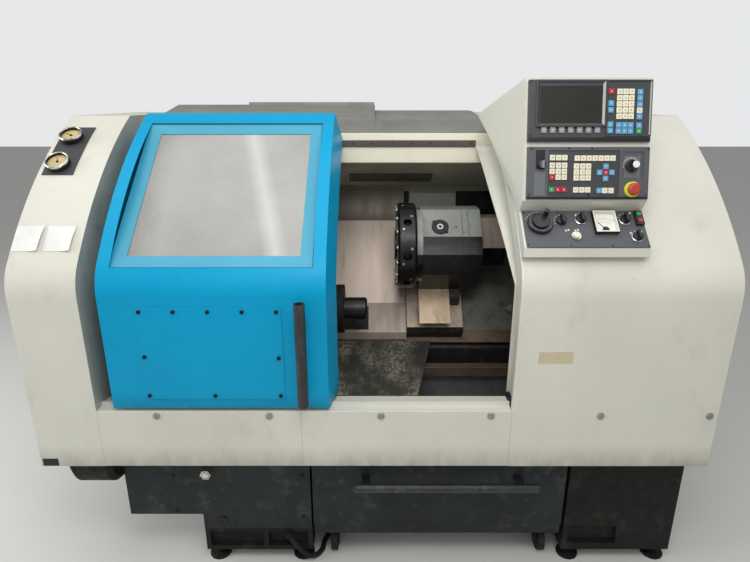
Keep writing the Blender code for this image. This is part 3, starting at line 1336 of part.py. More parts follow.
def tank_drawer():
    bm = bmesh.new()
    box(bm, TANK_X, TANK_Y, TANK_Z)
    tank = make("tank_drawer", bm, DARK, smooth=SMOOTH)
    front = bmesh.new()
    box(front, TANK_FRONT_X, (TANK_FRONT_Y, TANK_FRONT_Y + SHEET), TANK_FRONT_Z)
    combine(tank, front, "UNION")
    inside = bmesh.new()
    inside_x = (TANK_X[0] + SHEET, TANK_X[1] - SHEET)
    box(inside, inside_x, (TANK_Y[0] + SHEET, TANK_Y[1] - SHEET), (TANK_Z[0] + SHEET, TANK_Z[1] + OVERRUN))
    combine(tank, inside)
    arms = bmesh.new()
    half = BRACKET_W / 2
    for x in BRACKET_X:
        box(arms, (x - half, x + half), (TANK_BAR_Y, TANK_FRONT_Y + SHEET / 2), (TANK_BAR_Z - half / 2, TANK_BAR_Z + half / 2))
    combine(tank, arms, "UNION")
    bar = bmesh.new()
    cylinder(bar, (0, TANK_BAR_Y, TANK_BAR_Z), (1, 0, 0), TANK_BAR_X, TANK_BAR_R, HANDLE_ROUND // 2)
    combine(tank, bar, "UNION")
    cheeks = bmesh.new()
    axle_z = WHEEL_RADIUS + WHEEL_LIFT
    inner = WHEEL_WIDTH / 2 + CHEEK_GAP
    for x in CASTOR_X:
        for y in CASTOR_Y:
            for side in (-1, 1):
                edges = sorted((x + side * inner, x + side * (inner + CHEEK)))
                box(cheeks, edges, (y - CHEEK_HALF, y + CHEEK_HALF), (axle_z - CHEEK_HALF, TANK_Z[0] + SHEET / 2))
    combine(tank, cheeks, "UNION")
    front_y, rear_y = CASTOR_Y
    axles = bmesh.new()
    reach = inner + CHEEK / 2
    for x in CASTOR_X:
        cylinder(axles, (x, front_y, axle_z), (1, 0, 0), (-reach, reach), AXLE_R, AXLE_ROUND)
    combine(tank, axles, "UNION")
    bearings = bmesh.new()
    rear_centre = (0, rear_y, axle_z)
    span = (CASTOR_X[0] - OVERRUN, CASTOR_X[1] + OVERRUN)
    cylinder(bearings, rear_centre, (1, 0, 0), span, AXLE_R + RUN, AXLE_ROUND)
    combine(tank, bearings)
    half = WHEEL_WIDTH / 2
    for side, x in zip(("left", "right"), CASTOR_X):
        bm = bmesh.new()
        tube(bm, (x, front_y, axle_z), (1, 0, 0), (-half, half), WHEEL_RADIUS, AXLE_R + RUN, MOTOR_ROUND)
        make(f"castor_wheel_{side}", bm, RUBBER, (x, front_y, axle_z), SMOOTH)
    bm = bmesh.new()
    cylinder(bm, rear_centre, (1, 0, 0), span, AXLE_R, AXLE_ROUND)
    wheelset = make("rear_wheelset", bm, RUBBER, rear_centre, SMOOTH)
    wheels = bmesh.new()
    for x in CASTOR_X:
        cylinder(wheels, (x, rear_y, axle_z), (1, 0, 0), (-half, half), WHEEL_RADIUS, MOTOR_ROUND)
    combine(wheelset, wheels, "UNION")


# Electrical cabinet at the rear, its door and the isolator handle
CABINET_X = (-0.10, 0.80)
CABINET_Z = (0.28, 1.60)
CABINET_BACK = 0.74
CABINET_WALL = 0.003
LEAF_BACK = 0.7597
LEAF_LIP = 0.002
LEAF_FOLD = 0.0025
GEAR_BLOCKS = ((0.05, 0.35, 1.15, 1.45), (0.42, 0.70, 1.15, 1.45), (0.0, 0.32, 0.65, 1.0), (0.40, 0.72, 0.60, 1.0), (0.05, 0.65, 0.38, 0.48))
GEAR_DEPTH = 0.11
ISOLATOR = (0.62, 1.38)
ISOLATOR_R = 0.03
ISOLATOR_GRIP = 0.014
CABINET_END = 0.78


def cabinet_parts():
    front = REAR_Y + SEAT
    bm = bmesh.new()
    box(bm, CABINET_X, (front, CABINET_BACK), CABINET_Z)
    cabinet = make("electrical_cabinet", bm, CREAM)
    inside = bmesh.new()
    inside_x = (CABINET_X[0] + CABINET_WALL, CABINET_X[1] - CABINET_WALL)
    inside_z = (CABINET_Z[0] + CABINET_WALL, CABINET_Z[1] - CABINET_WALL)
    box(inside, inside_x, (front + CABINET_WALL, CABINET_BACK + OVERRUN), inside_z)
    combine(cabinet, inside)
    gear = bmesh.new()
    for x0, x1, z0, z1 in GEAR_BLOCKS:
        box(gear, (x0, x1), (front + CABINET_WALL / 2, front + GEAR_DEPTH), (z0, z1))
    combine(cabinet, gear, "UNION")

    hinge = (CABINET_X[0], LEAF_BACK, 0)
    leaf_x = (CABINET_X[0] + LEAF_LIP, CABINET_X[1] - LEAF_LIP)
    leaf_z = (CABINET_Z[0] + LEAF_LIP, CABINET_Z[1] - LEAF_LIP)
    bm = bmesh.new()
    box(bm, leaf_x, (CABINET_BACK + SEAT, LEAF_BACK), leaf_z)
    leaf = make("cabinet_door", bm, CREAM, hinge)
    pan = bmesh.new()
    pan_x = (leaf_x[0] + LEAF_FOLD, leaf_x[1] - LEAF_FOLD)
    pan_z = (leaf_z[0] + LEAF_FOLD, leaf_z[1] - LEAF_FOLD)
    box(pan, pan_x, (CABINET_BACK - OVERRUN, LEAF_BACK - LEAF_FOLD), pan_z)
    combine(leaf, pan)

    base = LEAF_BACK + SEAT
    half = ISOLATOR_GRIP / 2
    origin = (ISOLATOR[0], base, ISOLATOR[1])
    bm = bmesh.new()
    cylinder(bm, origin, (0, 1, 0), (0, (CABINET_END - base) / 2), ISOLATOR_R, BUTTON_ROUND)
    handle = make("isolator_handle", bm, BLACK, origin, SMOOTH)
    grip = bmesh.new()
    reach = ISOLATOR_R * 4 / 3
    box(grip, (ISOLATOR[0] - half, ISOLATOR[0] + half), (base + SHEET, CABINET_END), (ISOLATOR[1] - reach, ISOLATOR[1] + reach))
    combine(handle, grip, "UNION")


# Black hose from the foot of the base, over the floor, to the inner side of the same foot
HOSE_R = 0.010
HOSE_ROUTE = (
    (-0.327, -0.597, 0.124), (-0.313, -0.599, 0.100), (-0.294, -0.600, 0.072), (-0.269, -0.600, 0.045),
    (-0.244, -0.592, 0.024), (-0.222, -0.567, 0.0135), (-0.209, -0.534, 0.0105), (-0.205, -0.498, 0.0105),
    (-0.183, -0.449, 0.0105), (-0.133, -0.428, 0.0105), (-0.088, -0.421, 0.0105), (-0.048, -0.397, 0.0105),
    (-0.020, -0.350, 0.0105), (-0.010, -0.285, 0.0105), (-0.004, -0.210, 0.0105), (0.0, -0.120, 0.0105),
    (0.0, -0.025, 0.0105), (-0.004, 0.070, 0.0105), (-0.008, 0.165, 0.0105), (-0.012, 0.245, 0.0105),
    (-0.034, 0.318, 0.0105), (-0.085, 0.356, 0.013), (-0.132, 0.370, 0.030), (-0.170, 0.374, 0.059),
    (-0.200, 0.375, 0.078), (-0.2242, 0.375, 0.083),
)
HOSE_POINTS = 64
GLAND_R = 0.015
GLAND_LENGTH = 0.0175
GLAND_SIDES = 6


def spline_point(route, t):
    """Point on a smooth curve through the route, for t from 0 to 1."""
    scaled = t * (len(route) - 1)
    i = min(int(scaled), len(route) - 2)
    s = scaled - i
    p = [Vector(route[min(max(i + k, 0), len(route) - 1)]) for k in (-1, 0, 1, 2)]
    line = 2 * p[1] + (p[2] - p[0]) * s
    curve = (2 * p[0] - 5 * p[1] + 4 * p[2] - p[3]) * s ** 2 + (3 * p[1] - p[0] - 3 * p[2] + p[3]) * s ** 3
    return (line + curve) / 2


def hose_glands():
    """Hexagon glands on the base, one at each end of the hose."""
    base = bpy.data.objects["base_casting"]
    step = 1 / (HOSE_POINTS - 1)
    for t, following in ((0, step), (1, 1 - step)):
        end = spline_point(HOSE_ROUTE, t)
        out = (end - spline_point(HOSE_ROUTE, following)).normalized()
        gland = bmesh.new()
        cylinder(gland, end, out, (SEAT, GLAND_LENGTH + SEAT), GLAND_R, GLAND_SIDES)
        combine(base, gland, "UNION")


def coolant_hose():
    curve = bpy.data.curves.new("coolant_hose", "CURVE")
    curve.dimensions = "3D"
    curve.bevel_depth = HOSE_R
    curve.bevel_resolution = 2
    curve.use_fill_caps = True
    spline = curve.splines.new("POLY")
    spline.points.add(HOSE_POINTS - 1)
    for i in range(HOSE_POINTS):
        spline.points[i].co = (*spline_point(HOSE_ROUTE, i / (HOSE_POINTS - 1)), 1)
    hose = bpy.data.objects.new("coolant_hose", curve)
    bpy.context.scene.collection.objects.link(hose)
    material = bpy.data.materials.new("coolant_hose")
    material.use_nodes = True
    material.node_tree.nodes["Principled BSDF"].inputs["Base Color"].default_value = (*RUBBER[0], 1)
    curve.materials.append(material)


base_casting()
plinth_panel()
bed_casting()
headstock_casting()
spindle()
motor_parts()
drive_belt()
end_covers()
door_jamb()
front_apron()
headstock_guard()
top_sheets()
chip_tray()
carriage_parts()
tailstock_parts()
door_parts()
pendant_housing()
pendant_panels()
console_panel()
controls()
gauge_parts()
tank_drawer()
cabinet_parts()
hose_glands()
coolant_hose()
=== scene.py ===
# Looks of a CNC turning lathe with a slant bed, dressed around its CAD solids, in metres, +Z up.
# X runs along the spindle, -Y faces the operator, and Z = 0 is the floor.
import json
import math

import bmesh
import bpy
from mathutils import Matrix, Vector

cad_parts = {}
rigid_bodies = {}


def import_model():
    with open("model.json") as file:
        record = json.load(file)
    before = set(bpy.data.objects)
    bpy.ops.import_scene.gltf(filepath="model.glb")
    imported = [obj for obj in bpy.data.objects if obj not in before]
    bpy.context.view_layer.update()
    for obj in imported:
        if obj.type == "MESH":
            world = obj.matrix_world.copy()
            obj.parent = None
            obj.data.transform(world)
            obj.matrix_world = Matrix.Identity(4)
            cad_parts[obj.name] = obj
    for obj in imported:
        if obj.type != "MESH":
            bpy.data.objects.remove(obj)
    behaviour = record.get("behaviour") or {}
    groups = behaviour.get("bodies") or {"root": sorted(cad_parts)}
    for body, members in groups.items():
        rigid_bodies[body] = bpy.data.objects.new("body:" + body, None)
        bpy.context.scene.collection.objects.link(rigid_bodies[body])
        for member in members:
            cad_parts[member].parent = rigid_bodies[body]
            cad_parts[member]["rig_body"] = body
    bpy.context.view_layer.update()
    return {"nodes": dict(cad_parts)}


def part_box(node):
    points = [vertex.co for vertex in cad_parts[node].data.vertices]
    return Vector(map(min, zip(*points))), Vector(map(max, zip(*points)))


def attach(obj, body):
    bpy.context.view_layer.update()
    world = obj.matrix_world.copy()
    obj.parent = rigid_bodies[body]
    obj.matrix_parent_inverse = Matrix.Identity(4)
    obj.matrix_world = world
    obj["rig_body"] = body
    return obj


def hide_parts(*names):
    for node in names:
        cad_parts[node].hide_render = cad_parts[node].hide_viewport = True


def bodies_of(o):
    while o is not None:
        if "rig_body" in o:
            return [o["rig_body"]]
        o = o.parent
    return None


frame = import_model()

MM = 0.001
SEAT = 0.0003

# Sections that the covers share: a flat front, a knee and a long arc
FRONT_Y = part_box("right_enclosure")[0].y
HOOD_R = 1.6
HOOD_Y = 0.5848
HOOD_Z = 0.2324
KNEE_R = 0.166
KNEE_STEPS = 4
ARC_STEPS = 8
KNEE_Y = FRONT_Y + KNEE_R
KNEE_Z = HOOD_Z + math.sqrt((HOOD_R - KNEE_R) ** 2 - (KNEE_Y - HOOD_Y) ** 2)
KNEE_ANGLE = math.atan2(KNEE_Z - HOOD_Z, KNEE_Y - HOOD_Y)
COVER_TOP_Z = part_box("right_enclosure")[1].z
COVER_TOP_ANGLE = math.pi - math.asin((COVER_TOP_Z - HOOD_Z) / HOOD_R)
DOOR_TOP_Y = -0.11
DOOR_TOP_ANGLE = math.acos((DOOR_TOP_Y - HOOD_Y) / HOOD_R)
HOOD_REACH = (HOOD_R - 0.2, HOOD_R + 0.01)
KNEE_REACH = (0.02, KNEE_R + 0.01)


def face_frame(low, high):
    """Frame on a sloping face: X, up the face, and out of it, from its lower edge."""
    run = Vector((0, high[0] - low[0], high[1] - low[1])).normalized()
    out = Vector((1, 0, 0)).cross(run)
    turn = Matrix((Vector((1, 0, 0)), run, out)).transposed().to_4x4()
    turn.translation = Vector((0, low[0], low[1]))
    return turn


def hood_frame(angle, lift=0.0):
    """Frame on the hood's arc at an angle: X, up the slope, and out."""
    turn = face_frame((0, 0), (math.sin(angle), -math.cos(angle)))
    radius = HOOD_R + lift
    turn.translation = Vector((0, HOOD_Y + radius * math.cos(angle), HOOD_Z + radius * math.sin(angle)))
    return turn


def upright(y):
    """Frame on an upright face that looks at the operator."""
    return face_frame((y, 0), (y, 1))


def on(face, x, u, out=0.0):
    """Frame at a place on a face."""
    return face @ Matrix.Translation((x, u, out))


WINDOW_LOW = (-0.67, 1.223)
WINDOW_HIGH = (-0.1774, 1.640)
FRONT = upright(FRONT_Y)
PENDANT = face_frame((-0.613, 1.424), (-0.533, 1.786))
CONSOLE = face_frame((-0.681, 1.289), (-0.5785, 1.383))
WINDOW = face_frame(WINDOW_LOW, WINDOW_HIGH)
SLANT = face_frame((-0.28, 0.94), (0.72, 1.94))
SLANT_BACK = SLANT.inverted()


# Camera at the photograph's viewing angle, with the same field of view
CAMERA_PLACE = (0, -2.33, 1.72)
CAMERA_PITCH = math.radians(18)
LENS_MM = 26.69
FILM_MM = 36


def place_camera():
    camera = bpy.data.objects.new("camera", bpy.data.cameras.new("camera"))
    camera.data.sensor_width = FILM_MM
    camera.data.lens = LENS_MM
    camera.location = CAMERA_PLACE
    camera.rotation_euler = (math.radians(90) - CAMERA_PITCH, 0, 0)
    bpy.context.scene.collection.objects.link(camera)
    bpy.context.scene.camera = camera


place_camera()


# Materials
M = {}


def colour(code):
    """An sRGB hex value as linear RGBA."""
    parts = [int(code[i:i + 2], 16) / 255 for i in (0, 2, 4)]
    linear = [c / 12.92 if c <= 0.04045 else ((c + 0.055) / 1.055) ** 2.4 for c in parts]
    return (*linear, 1)


def add(tree, kind, inputs=None, **settings):
    """One node with its settings, its values and its links."""
    node = tree.nodes.new(kind)
    for key, value in settings.items():
        setattr(node, key, value)
    for key, value in (inputs or {}).items():
        if isinstance(value, bpy.types.NodeSocket):
            tree.links.new(value, node.inputs[key])
        else:
            node.inputs[key].default_value = value
    return node


def finish(name, base, tint, tint_mm, rough, metallic=0.0, stain=None, stain_mm=60, stain_share=0.3,
           stain_strength=0.5, speck=None, speck_mm=4, speck_share=0.02, grain_mm=2.0, grain_depth_mm=0.05,
           stretch=(1, 1, 1), low_z=None, grime="3A382F", specular=0.5, patches=False):
    """A material whose colour drifts, with stains, specks, a grain and dirt towards a low edge."""
    material = bpy.data.materials.new(name)
    material.use_nodes = True
    tree = material.node_tree
    shader = tree.nodes["Principled BSDF"]
    shader.inputs["Metallic"].default_value = metallic
    shader.inputs["Specular IOR Level"].default_value = specular
    spot = add(tree, "ShaderNodeTexCoord").outputs["Object"]
    pulled = add(tree, "ShaderNodeMapping", {"Vector": spot, "Scale": stretch}).outputs["Vector"]

    def noise(size_mm, detail, where=pulled):
        """Noise with features of a real size."""
        inputs = {"Vector": where, "Scale": 1 / (size_mm * MM), "Detail": detail, "Roughness": 0.6}
        return add(tree, "ShaderNodeTexNoise", inputs).outputs["Fac"]

    def share(value, part, soft, top=1.0):
        """From 0 to top where a noise is among its highest part."""
        middle = 0.5 + (0.5 - part) * 0.5
        inputs = {"Value": value, "From Min": middle - soft, "From Max": middle + soft, "To Max": top}
        return add(tree, "ShaderNodeMapRange", inputs).outputs["Result"]

    def mix(factor, first, second):
        return add(tree, "ShaderNodeMix", {0: factor, 6: first, 7: second}, data_type="RGBA").outputs[2]

    drift = noise(tint_mm, 3)
    paint = mix(share(drift, 0.5, 0.2), colour(base), colour(tint))
    if stain:
        spread = share(noise(stain_mm, 7), stain_share, 0.08, stain_strength)
        if patches:
            where = share(drift, 0.45, 0.12)
            spread = add(tree, "ShaderNodeMath", {0: spread, 1: where}, operation="MULTIPLY").outputs[0]
        paint = mix(spread, paint, colour(stain))
    if speck:
        paint = mix(share(noise(speck_mm, 2, spot), speck_share, 0.01, 0.8), paint, colour(speck))
    if low_z:
        height = add(tree, "ShaderNodeSeparateXYZ", {"Vector": spot}).outputs["Z"]
        inputs = {"Value": height, "From Min": low_z[1], "From Max": low_z[0]}
        near = add(tree, "ShaderNodeMapRange", inputs).outputs["Result"]
        dirt = add(tree, "ShaderNodeMath", {0: near, 1: noise(45, 6)}, operation="MULTIPLY").outputs[0]
        paint = mix(dirt, paint, colour(grime))
    tree.links.new(paint, shader.inputs["Base Color"])
    inputs = {"Value": noise(tint_mm / 5, 5), "From Min": 0.3, "From Max": 0.7, "To Min": rough[0], "To Max": rough[1]}
    tree.links.new(add(tree, "ShaderNodeMapRange", inputs).outputs["Result"], shader.inputs["Roughness"])
    grain = {"Height": noise(grain_mm, 2), "Distance": grain_depth_mm * MM, "Strength": 0.6}
    tree.links.new(add(tree, "ShaderNodeBump", grain).outputs["Normal"], shader.inputs["Normal"])
    M[name] = material


def materials():
    """Every finish on the machine, each under its common name in M."""
    # Stove enamel sprayed on sheet steel: warm off-white, half gloss, with hand smears and dust.
    finish(
        "cream_enamel", "D6D4C8", "CBC9BC", 420, (0.34, 0.5), stain="A9A697", stain_mm=140, stain_share=0.2,
        stain_strength=0.3, speck="6E695C", speck_mm=7, speck_share=0.012, grain_mm=3, low_z=(0.518, 0.60),
        grime="77746A", stretch=(1, 1, 0.5))
    # The same enamel at the back, where nobody touches it.
    finish(
        "rear_enamel", "D2D0C4", "C7C5B8", 380, (0.36, 0.52), stain="A9A697", stain_mm=160, stain_share=0.25,
        stain_strength=0.35, speck="6E695C", speck_mm=7, speck_share=0.01, grain_mm=3)
    # The same enamel on the beam over the opening, made lighter as painted light.
    finish(
        "lit_beam_enamel", "F6F0DC", "F0EAD4", 300, (0.32, 0.45), stain="D8D0B4", stain_mm=120, stain_share=0.2,
        stain_strength=0.4, grain_mm=3)
    # The same enamel under the roof of the cutting space, darker and olive as painted shade, and dull.
    finish(
        "shaded_roof_enamel", "B4B19E", "A29F8C", 160, (0.4, 0.6), stain="86836D", stain_mm=70, stain_share=0.3,
        grain_mm=3)
    # The same enamel, greyed as painted shade, for faces inside the covers beside the door.
    finish(
        "shaded_enamel", "AAADA5", "9A9D95", 200, (0.35, 0.55), stain="7E7F77", stain_mm=90, stain_share=0.3, grain_mm=3)
    # Two-pack blue enamel: even and clean, with fine scratches and oily finger marks low down.
    finish(
        "blue_enamel", "009CC9", "0094C1", 500, (0.3, 0.42), stain="0089B2", stain_mm=160, stain_share=0.16,
        stain_strength=0.35, speck="1A5368", speck_mm=6, speck_share=0.008, grain_mm=3, low_z=(0.745, 0.80),
        grime="0E6578", specular=0.2)
    # Dark teal lines round the window frame: painted shadow in the gap between frame and door.
    finish("gap_shadow_teal", "075A72", "064E63", 60, (0.5, 0.65), grain_mm=1.5, grain_depth_mm=0.03)
    # Blue enamel on the window frame, a shade lighter.
    finish(
        "frame_enamel", "3F9FBB", "3697B4", 400, (0.3, 0.42), stain="3096B8", stain_mm=120, stain_share=0.2,
        stain_strength=0.3, grain_mm=3)
    # Dark green-grey machine paint: scuffed, with spilt oil and floor dust on it.
    finish(
        "dark_paint", "2A3132", "222727", 220, (0.42, 0.7), stain="4E534F", stain_mm=70, stain_share=0.24,
        stain_strength=0.55, speck="7B7A70", speck_mm=6, speck_share=0.02, grain_mm=4, low_z=(0.04, 0.32),
        grime="1C1B18", specular=0.25)
    # The same paint on the casting near the floor, under soot and oil; it also colours the dark plates in the cutting
    # space, which are painted shade.
    finish(
        "soot_and_shade_paint", "1F1F1D", "171715", 160, (0.45, 0.75), stain="3B3A35", stain_mm=60, stain_share=0.24,
        stain_strength=0.5, speck="57544A", speck_mm=6, speck_share=0.015, grain_mm=4, grain_depth_mm=0.12,
        specular=0.2)
    # Grey machine paint over a cast housing: soft sheen, oily in places.
    finish(
        "grey_paint", "8E928A", "82867E", 90, (0.3, 0.5), stain="54584F", stain_mm=40, stain_share=0.25,
        speck="2E2E2A", speck_mm=4, speck_share=0.03, grain_mm=2.5, grain_depth_mm=0.1)
    # Cast iron wet with old cutting oil: brown-black, uneven, with a dull shine.
    finish(
        "oily_cast_iron", "2F2A26", "231F1C", 60, (0.35, 0.7), 0.35, stain="5A4638", stain_mm=40, stain_share=0.3,
        speck="8C8272", speck_mm=5, speck_share=0.03, grain_mm=3, grain_depth_mm=0.25)
    # Sheet covered in dried coolant and fines: dark, blotched with a pale crust.
    finish(
        "crusted_sheet", "2C2C28", "45443A", 150, (0.5, 0.85), stain="B0A992", stain_mm=10, stain_share=0.5,
        stain_strength=0.75, speck="A8A28C", speck_mm=5, speck_share=0.05, grain_mm=5, grain_depth_mm=0.3,
        stretch=(1, 0.6, 0.6), patches=True)
    # Tray sheet under a film of coolant: dark, with a wet shine; on the guard beside the door the same dark finish is
    # painted shade.
    finish(
        "wet_and_shaded_sheet", "6B6C6A", "585958", 110, (0.2, 0.45), stain="6E7270", stain_mm=60, stain_share=0.25,
        stain_strength=0.6, speck="8D8A7E", speck_mm=5, speck_share=0.02, grain_mm=4, grain_depth_mm=0.1)
    # Grey machine paint on the bed under old coolant.
    finish(
        "coolant_grey", "7C7D75", "65665F", 90, (0.3, 0.55), stain="4A4438", stain_mm=45, stain_share=0.3,
        stain_strength=0.6, speck="A39C8A", speck_mm=5, speck_share=0.02, grain_mm=3, grain_depth_mm=0.1)
    # Steel strip with brown way oil dried on it.
    finish(
        "browned_steel", "70604F", "5B4D40", 50, (0.35, 0.6), 0.3, stain="3A2D26", stain_mm=24, stain_share=0.3,
        speck="9A8878", speck_mm=4, speck_share=0.03, grain_mm=2, grain_depth_mm=0.05, stretch=(0.4, 1, 1))
    # Slideway of the saddle: beige under dried coolant, brown at its stains.
    finish(
        "oiled_slide", "B5A392", "A08F7F", 45, (0.3, 0.5), 0.3, stain="6F5D4E", stain_mm=26, stain_share=0.3,
        speck="4A3E35", speck_mm=4, speck_share=0.04, grain_mm=2, grain_depth_mm=0.05, stretch=(1, 0.4, 0.4))
    # Stainless sheet low down, darker and duller on the steeper foot as painted shade.
    finish(
        "shaded_foot_sheet", "9C8F84", "8A7E74", 90, (0.4, 0.55), 0.5, stain="6B6057", stain_mm=40, stain_share=0.25,
        stain_strength=0.5, grain_mm=2, grain_depth_mm=0.03, stretch=(1, 0.12, 0.12))
    # Frosted glass of the work lamp, unlit and oily.
    finish("lamp_glass", "6E6A58", "625E4E", 60, (0.3, 0.45), grain_mm=8, grain_depth_mm=0.02)
    # Hardened guide rail, grey-brown under dried grease.
    finish(
        "greased_rail", "635A56", "584F4C", 60, (0.3, 0.5), 0.4, stain="4C4441", stain_mm=30, stain_share=0.2,
        grain_mm=2, grain_depth_mm=0.03, stretch=(0.3, 1, 1))
    # Ground steel: bright, with fine marks along X.
    finish(
        "ground_steel", "A9A7A2", "918E88", 60, (0.22, 0.4), 0.9, stain="5C564E", stain_mm=30, stain_share=0.15,
        grain_mm=1.5, grain_depth_mm=0.02, stretch=(0.2, 1, 1))
    # Stainless sheet, drawn up the slope: long fine streaks and dried splashes.
    finish(
        "stainless_sheet", "CBB9AB", "B5A79A", 120, (0.34, 0.5), 0.55, stain="85786C", stain_mm=40, stain_share=0.2,
        stain_strength=0.5, speck="5B5148", speck_mm=4, speck_share=0.02, grain_mm=2, grain_depth_mm=0.03,
        stretch=(1, 0.12, 0.12))
    # The same sheet where it stands upright, darker and brown as painted shade.
    finish(
        "shaded_upright_sheet", "62574D", "544A42", 120, (0.4, 0.55), 0.3, stain="4A423B", stain_mm=60, stain_share=0.25,
        stain_strength=0.5, grain_mm=2, grain_depth_mm=0.03, stretch=(1, 0.12, 0.12))
    # Galvanised roof sheet: pale grey and matt, with settled dust.
    finish(
        "galvanised_sheet", "97978F", "868781", 150, (0.45, 0.6), 0.4, stain="7C7B74", stain_mm=80, stain_share=0.3,
        grain_mm=6, grain_depth_mm=0.03)
    # Steel blacked in hot oxide salts: near black, satin; it also blackens faces under the turret housing as painted
    # shade.
    finish(
        "black_oxide", "2A2A2A", "1D1D1E", 40, (0.25, 0.42), 0.6, stain="3A3B3B", stain_mm=20, stain_share=0.2,
        grain_mm=1.5, grain_depth_mm=0.02)
    # Bronze-coloured slideway plate under a film of way oil.
    finish(
        "oiled_bronze", "BBA58C", "A8937C", 50, (0.25, 0.42), 0.55, stain="6A563F", stain_mm=30, stain_share=0.25,
        grain_mm=1.5, grain_depth_mm=0.03, stretch=(1, 0.3, 0.3))
    # Powder coat on the control panels: fine-textured neutral grey.
    finish(
        "grey_powder_coat", "525457", "4B4D51", 120, (0.48, 0.6), stain="484A4D", stain_mm=60, stain_share=0.15,
        stain_strength=0.4, grain_mm=1.2, grain_depth_mm=0.05)
    # Panel moulding behind the keys: darker and smoother.
    finish(
        "dark_moulding", "3C3D40", "353639", 80, (0.4, 0.55), grain_mm=1.0, grain_depth_mm=0.03)
    # Black-painted bar rubbed to grey by hands.
    finish(
        "worn_grip", "2B2C2D", "383A3B", 45, (0.35, 0.55), 0.2, stain="5A5B5A", stain_mm=26, stain_share=0.24,
        stain_strength=0.6, speck="A8A49B", speck_mm=5, speck_share=0.03, grain_mm=2, stretch=(1, 1, 0.5))
    # Phenolic moulding: black with a soft gloss; the same black makes the strip under the display, which is painted
    # shade.
    finish(
        "phenolic_black_and_shade", "17181A", "101113", 40, (0.28, 0.42), stain="2A2A2A", stain_mm=15, stain_share=0.15,
        grain_mm=1.0, grain_depth_mm=0.02)
    # Vulcanised rubber: matt black, dusty.
    finish(
        "rubber", "1B1B1A", "141413", 30, (0.6, 0.8), stain="35332F", stain_mm=25, stain_share=0.3,
        grain_mm=2, grain_depth_mm=0.05, specular=0.3)
    # Keys moulded in ABS, each colour with the same faint wear; the light grey serves as painted highlight on the lit
    # inner walls of the screen and key surrounds.
    for name, base, tint in (
        ("cream_key", "E3DCC4", "D8D1B8"), ("blue_key", "5C9CC0", "5695B9"), ("red_key", "B5233A", "A61E34"),
        ("green_key", "2F9A57", "298A4D"), ("highlight_grey", "A9A9A3", "A0A09A"), ("dull_key", "8B8C87", "82837E"),
        ("white_key", "E8E6DC", "DDDBD0"), ("yellow_ring", "D8DE3A", "CBD032"), ("grey_cover", "66696A", "606364"),
        ("red_mushroom", "B23A32", "9E2F29"),
    ):
        finish(name, base, tint, 12, (0.35, 0.5), grain_mm=1.2, grain_depth_mm=0.02)
    # Picture tube behind its filter: dark olive and glossy.
    finish(
        "screen_glass", "2A2A25", "252521", 100, (0.35, 0.45), grain_mm=30, grain_depth_mm=0.01, specular=0.25)
    # Chrome plate: bright and smooth with a little dulling.
    finish("chrome_plate", "D4D4D0", "C4C4C0", 20, (0.12, 0.25), 0.95, grain_mm=4, grain_depth_mm=0.01)
    # Zinc plate on screws: dull silver.
    finish("zinc_plate", "A9A8A2", "95948E", 10, (0.3, 0.45), 0.8, grain_mm=1, grain_depth_mm=0.02)
    # Printed dial card, yellowed.
    finish("dial_card", "D0BC8A", "C2AC78", 12, (0.5, 0.65), grain_mm=2, grain_depth_mm=0.01)
    # Office paper, a little creased.
    finish("paper", "E4E3DF", "DAD9D5", 30, (0.7, 0.85), grain_mm=12, grain_depth_mm=0.4)
    # Printing ink; the black also fills the slot and the bolt hole of the plinth as painted shade.
    finish("white_print", "DADAD4", "CECEC8", 6, (0.5, 0.6), grain_mm=1, grain_depth_mm=0.01)
    finish("black_print_and_shade", "141414", "0E0E0E", 6, (0.5, 0.6), grain_mm=1, grain_depth_mm=0.01)
    # Old masking tape.
    finish("masking_tape", "C9BE9F", "BBAF8E", 14, (0.5, 0.65), grain_mm=1.5, grain_depth_mm=0.05)


# Where the pane darkens towards its left edge, and the painted reflection: a bright streak that leans across it
PANE_DARK_X = (-0.70, -0.81)
REFLECTION_LEAN = 0.383
REFLECTION_PLACE = 0.165
REFLECTION_HALF_WIDTH = 0.045
CLOUD_SCALE = 3.0
FOG_SCALE = 260.0


